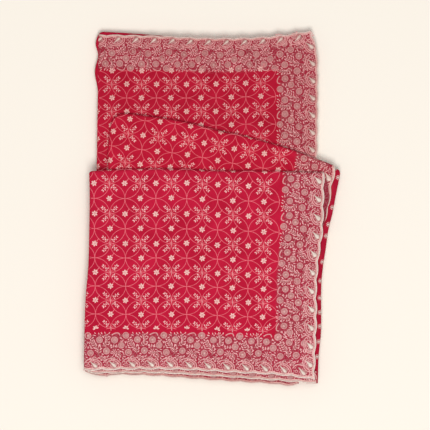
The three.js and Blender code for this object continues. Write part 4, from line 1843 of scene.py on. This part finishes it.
class Saree:
    """The folded saree, stretch by stretch."""

    def __init__(self) -> None:
        """Set out the stretches."""
        self.kit = StitchKit(model_leaf(), model_ring(0.16), model_ring(0.42), model_knot())
        self.front = Stretch(
            "front_cloth", FRONT_OUTLINE, 26.9, (Side.LEFT, Side.TOP), 2.9, (Side.RIGHT, Side.BOTTOM),
            creases=(
                Crease(-150, -58, -40, -52, 6, 1.3), Crease(-20, -56, 96, -62, 7, 1.0),
                Crease(-140, -12, -60, -18, 6, 0.7), Crease(10, -120, 110, -112, 8, 0.7),
                Crease(-146, -142, -96, -150, 7, 0.8), Crease(-84, 34, 30, 30, 8, 0.6),
                Crease(86, 20, 78, -80, 6, 0.5), Crease(-60, -186, 90, -190, 6, 0.6)),
            seed=11, scallop_depth=1.7, scallop_phase={Side.RIGHT: 9.6, Side.BOTTOM: -1.2},
            pitches={Side.RIGHT: 22.1, Side.BOTTOM: 22.75}, worked={Side.RIGHT: 49, Side.BOTTOM: 44})
        self.middle = Stretch(
            "middle_cloth", MIDDLE_OUTLINE, 20.4, (Side.LEFT, Side.TOP), 3.1, (Side.RIGHT,), pucker=0.08,
            creases=(
                Crease(-112, 100, -116, 46, 5, 0.9), Crease(-103, 96, -106, 50, 4, -0.6),
                Crease(-96, 92, -98, 60, 6, 0.4), Crease(20, 78, 110, 54, 6, 0.4)),
            seed=12, scallop=25, scallop_depth=1.8, worked={Side.RIGHT: 49}, shade=(0.97, 0.86, 0.84))
        self.upper = Stretch(
            "upper_cloth", UPPER_OUTLINE, 13.9, (Side.LEFT,), 1.3, (Side.TOP, Side.RIGHT),
            fold_angle=math.pi / 2, pucker=0.09,
            creases=(
                Crease(-102, 206, -102, 168, 3, -0.6), Crease(-96, 206, -97, 170, 4, 0.5),
                Crease(73, 206, 75, 170, 3, -0.7), Crease(79, 208, 80, 172, 4, 0.5),
                Crease(-134, 120, -90, 124, 8, 0.4), Crease(-20, 150, 60, 146, 9, 0.35)),
            shade=(0.88, 0.76, 0.75), seed=13, scallop=21.4, scallop_phase={Side.RIGHT: 13.6, Side.TOP: 9.3},
            pitches={Side.TOP: 21.8}, worked={Side.RIGHT: 47, Side.TOP: 42})
        self.blouse = Stretch(
            "blouse_cloth", BLOUSE_OUTLINE, 12.4, (Side.LEFT, Side.TOP), 3.1, pucker=0.05, seed=14)
        self.right_fold = Stretch(
            "right_fold_cloth", beside_right(OUTER_RIGHT, HEM_REACH), 18.9, (Side.RIGHT,), 2.35, pucker=0.06,
            seed=15, shade=(0.82, 0.80, 0.82))
        self.second_edge = Stretch(
            "second_edge_cloth", beside_right(SECOND_RIGHT, HEM_REACH), 23.4, hems=(Side.RIGHT,), pucker=0.06,
            seed=16, worked={Side.RIGHT: 20}, shade=(0.72, 0.70, 0.72))
        self.second_hem = Stretch(
            "second_hem_cloth", above_bottom(SECOND_BOTTOM, HEM_REACH), 25.0, hems=(Side.BOTTOM,),
            pucker=0.05, seed=17, worked={Side.BOTTOM: 20}, shade=(0.92, 0.90, 0.88))
        self.third_hem = Stretch(
            "third_hem_cloth", above_bottom(THIRD_BOTTOM, HEM_REACH), 15.4, hems=(Side.BOTTOM,), cloth=1.6,
            pucker=0.05, seed=18, worked={Side.BOTTOM: 20}, shade=(0.88, 0.86, 0.84))

    def lay_cloth(self) -> None:
        """Make each stretch of cloth and put it in its node's place."""
        laid = {
            "front_stretch": (
                self.front, FIELD_CLOTH, "embroidered_cloth", ["hidden_layers", "middle_stretch"]),
            "middle_stretch": (
                self.middle, FIELD_CLOTH, "embroidered_cloth", ["hidden_layers", "upper_stretch"]),
            "upper_stretch": (
                self.upper, FIELD_CLOTH, "embroidered_cloth", ["hidden_layers", "blouse_stretch"]),
            "blouse_stretch": (self.blouse, PLAIN_CLOTH, "plain_cloth", ["hidden_layers"]),
            "right_fold_stretch": (self.right_fold, FIELD_CLOTH, "embroidered_cloth", ["hidden_layers"]),
            "second_edge_stretch": (self.second_edge, FIELD_CLOTH, "hem_embroidery", ["hidden_layers"]),
            "second_hem_stretch": (self.second_hem, FIELD_CLOTH, "hem_embroidery", ["hidden_layers"]),
            "third_hem_stretch": (self.third_hem, FIELD_CLOTH, "hem_embroidery", ["hidden_layers"]),
        }
        for node, (stretch, finish, slot, rests_on) in laid.items():
            piece = stretch.build(finish)
            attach(piece, BODY)
            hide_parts(node)
            stretch.flat_size()
            log.info("%s: %d faces, flat %s m", piece.name, len(piece.data.polygons), stretch.flat_size())

    def lay_layers(self) -> None:
        """Make the piles of hidden layers, and the hems that show in their edges."""
        points, faces, start = [], [], 0
        for pile in (UPPER_PILE, LOWER_PILE, MIDDLE_PILE, NECK_PILE, FRONT_PILE):
            p, f = pile.mesh()
            points.append(p)
            faces += [tuple(n + start for n in face) for face in f]
            start += len(p)
        piece = add_mesh("layered_folds", np.vstack(points), faces)
        smooth(piece, 40)
        piece.data.materials.append(EDGES.material())
        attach(piece, BODY)
        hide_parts("hidden_layers")
        log.info("%s: %d faces", piece.name, len(piece.data.polygons))
        for pile, name in ((UPPER_PILE, "upper_layer_hems"), (LOWER_PILE, "lower_layer_hems")):
            cords = hem_edges(pile, name)
            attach(cords, BODY)

    def lattices(self) -> list[Lattice]:
        """Set out the lattice of each stretch.

        Returns:
            The lattices.
        """
        front_rows = tuple((y - 183.4) * SCALE for y in (183.4, 213.8, 243.7, 272.2, 300.1, 328.2))
        return [
            Lattice(
                self.front, at(109.5, 183.4), (30.92 * SCALE, -0.62 * SCALE), front_rows, (-3, 5.5, -3, 5.04),
                bow=(1.7, 2.5, 3.0), taper=0.004),
            Lattice(
                self.middle, at(128.2, 133.5), (30.3 * SCALE, -4.45 * SCALE), (0, 29.0 * SCALE),
                (-3, 5.5, -3, 4), row_slant=0.11, bow=(2.5, 1.9, 2.2)),
            Lattice(
                self.upper, at(111.4, 83.9), (29.9 * SCALE, 0.0), (0, 27.4 * SCALE, 54.9 * SCALE),
                (-3, 5.5, -0.5, 6), bow=(1.7, 5.0, 1.8)),
        ]

    def borders(self) -> list[Border]:
        """Set out the borders of each stretch.

        Returns:
            The borders.
        """
        middle_end = self.middle.lines[Side.RIGHT].length
        return [
            Border(
                self.front, Side.RIGHT, (at(272.4, 379.8), at(281.8, 172.5)), rose=140.1, repeat=44.2,
                flip=True, start=50, drop=0.85),
            Border(
                self.front, Side.BOTTOM, (at(84, 331.8), at(314.7, 334)), rose=50.4, end=-2, paisleys_end=-14,
                bow=1.8, drop=0.62),
            Border(
                self.middle, Side.RIGHT, (at(280, 239), at(294.9, 160.2)), rose=middle_end + 17.6, flip=True,
                paisleys_start=middle_end - 26),
            Border(
                self.upper, Side.RIGHT, (at(276, 185), at(276, 29.8)), rose=73.4, repeat=42.6, flip=True,
                end=-2, paisleys_end=-12, drop=0.75),
            Border(
                self.upper, Side.TOP, (at(98.5, 70.6), at(311.5, 70.6)), rose=38.0, repeat=43.5, end=-44,
                drop=0.55, bow=-1.2),
            Border(self.second_hem, Side.BOTTOM, (at(87, 332), at(316, 338)), floral=False, drop=0),
            Border(self.third_hem, Side.BOTTOM, (at(85, 332), at(300, 340)), floral=False, drop=0),
        ]

    def sew(self) -> None:
        """Embroider every stretch."""
        threads: dict[str, Threads] = {}

        def threads_for(stretch: Stretch) -> Threads:
            """Give the threads of a stretch."""
            return threads.setdefault(stretch.name, Threads(stretch, self.kit))

        for sewn in (*self.lattices(), *self.borders()):
            sewn.sew(threads_for(sewn.stretch))
        for py in FOLD_SPRAYS:
            self.sew_spray(threads_for(self.right_fold), at(0, py)[1])
        for used in threads.values():
            for piece in used.build():
                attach(piece, BODY)
                log.info("%s: %d faces", piece.name, len(piece.data.polygons))

    def sew_spray(self, threads: Threads, y: float) -> None:
        """Sew a spray that wraps over the right fold.

        Args:
            threads: The right fold's threads.
            y: What it is level with.
        """
        line = self.right_fold.lines[Side.RIGHT]
        share = np.interp(y, line.points[:, 1], line.walked) / line.length
        middle = line.place(np.array([share]))[0] - (1.4, 0)
        threads.bright.stitch(self.kit.knot, middle, 0, SPRAY_KNOT)
        for k in range(SPRAY_LEAVES):
            turn = k * 2 * math.pi / SPRAY_LEAVES
            threads.petals.stitch(self.kit.leaf, middle + way(turn) * 1.2, turn, SPRAY_LEAF)


# ---- The studio ----
@dataclass(frozen=True)
class Studio:
    """A pale table, soft lights and a camera straight above; metres.

    view_width is how much the picture shows across at the height subject, and middle what the camera is over.
    """

    view_width: float = 430 * SCALE * MM
    height: float = 3.0
    middle: tuple[float, float] = (2.5 * SCALE * MM, -6.7 * SCALE * MM)
    sensor: float = 36.0
    subject: float = 0.022

    def table(self) -> None:
        """Lay the table."""
        bpy.ops.object.select_all(action="DESELECT")
        bpy.ops.mesh.primitive_plane_add(size=12)
        table = bpy.context.object
        table.name = "table"
        material = bpy.data.materials.new("pale table")
        material.use_nodes = True
        shader = material.node_tree.nodes["Principled BSDF"]
        set_inputs(shader, Base_Color=(0.93, 0.865, 0.77, 1), Roughness=0.9, Specular_IOR_Level=0.0)
        table.data.materials.append(material)

    def lights(self) -> None:
        """Hang two soft lights, and fill with an even sky."""
        world = bpy.data.worlds.new("even sky")
        world.use_nodes = True
        set_inputs(world.node_tree.nodes["Background"], Color=(1, 1, 1, 1), Strength=0.29)
        bpy.context.scene.world = world
        for name, place, size, power in (
            ("key light", (0.1, -1.9, 4.1), 1.8, 104.0),
            ("top light", (0.3, 0.2, 4.6), 3.4, 84.0),
        ):
            bpy.ops.object.select_all(action="DESELECT")
            bpy.ops.object.light_add(type="AREA", location=place)
            light = bpy.context.object
            light.name = name
            light.data.size, light.data.energy = size, power
            lean = math.acos(place[2] / math.hypot(*place))
            light.rotation_euler = (lean, 0, math.atan2(place[1], place[0]) + math.pi / 2)

    def camera(self) -> None:
        """Set the camera straight above."""
        bpy.ops.object.select_all(action="DESELECT")
        bpy.ops.object.camera_add(location=(*self.middle, self.height), rotation=(0, 0, 0))
        camera = bpy.context.object
        camera.name = "camera"
        camera.data.sensor_width = self.sensor
        camera.data.lens = self.sensor * (self.height - self.subject) / self.view_width
        bpy.context.scene.camera = camera


def main() -> None:
    """Build the saree and its studio."""
    logging.basicConfig(level=logging.INFO, format="%(name)s %(message)s")
    studio = Studio()
    studio.camera()
    studio.table()
    studio.lights()
    bpy.context.scene.view_settings.view_transform = "Standard"
    saree = Saree()
    saree.lay_layers()
    saree.lay_cloth()
    saree.sew()


if __name__ == "__main__":
    main()
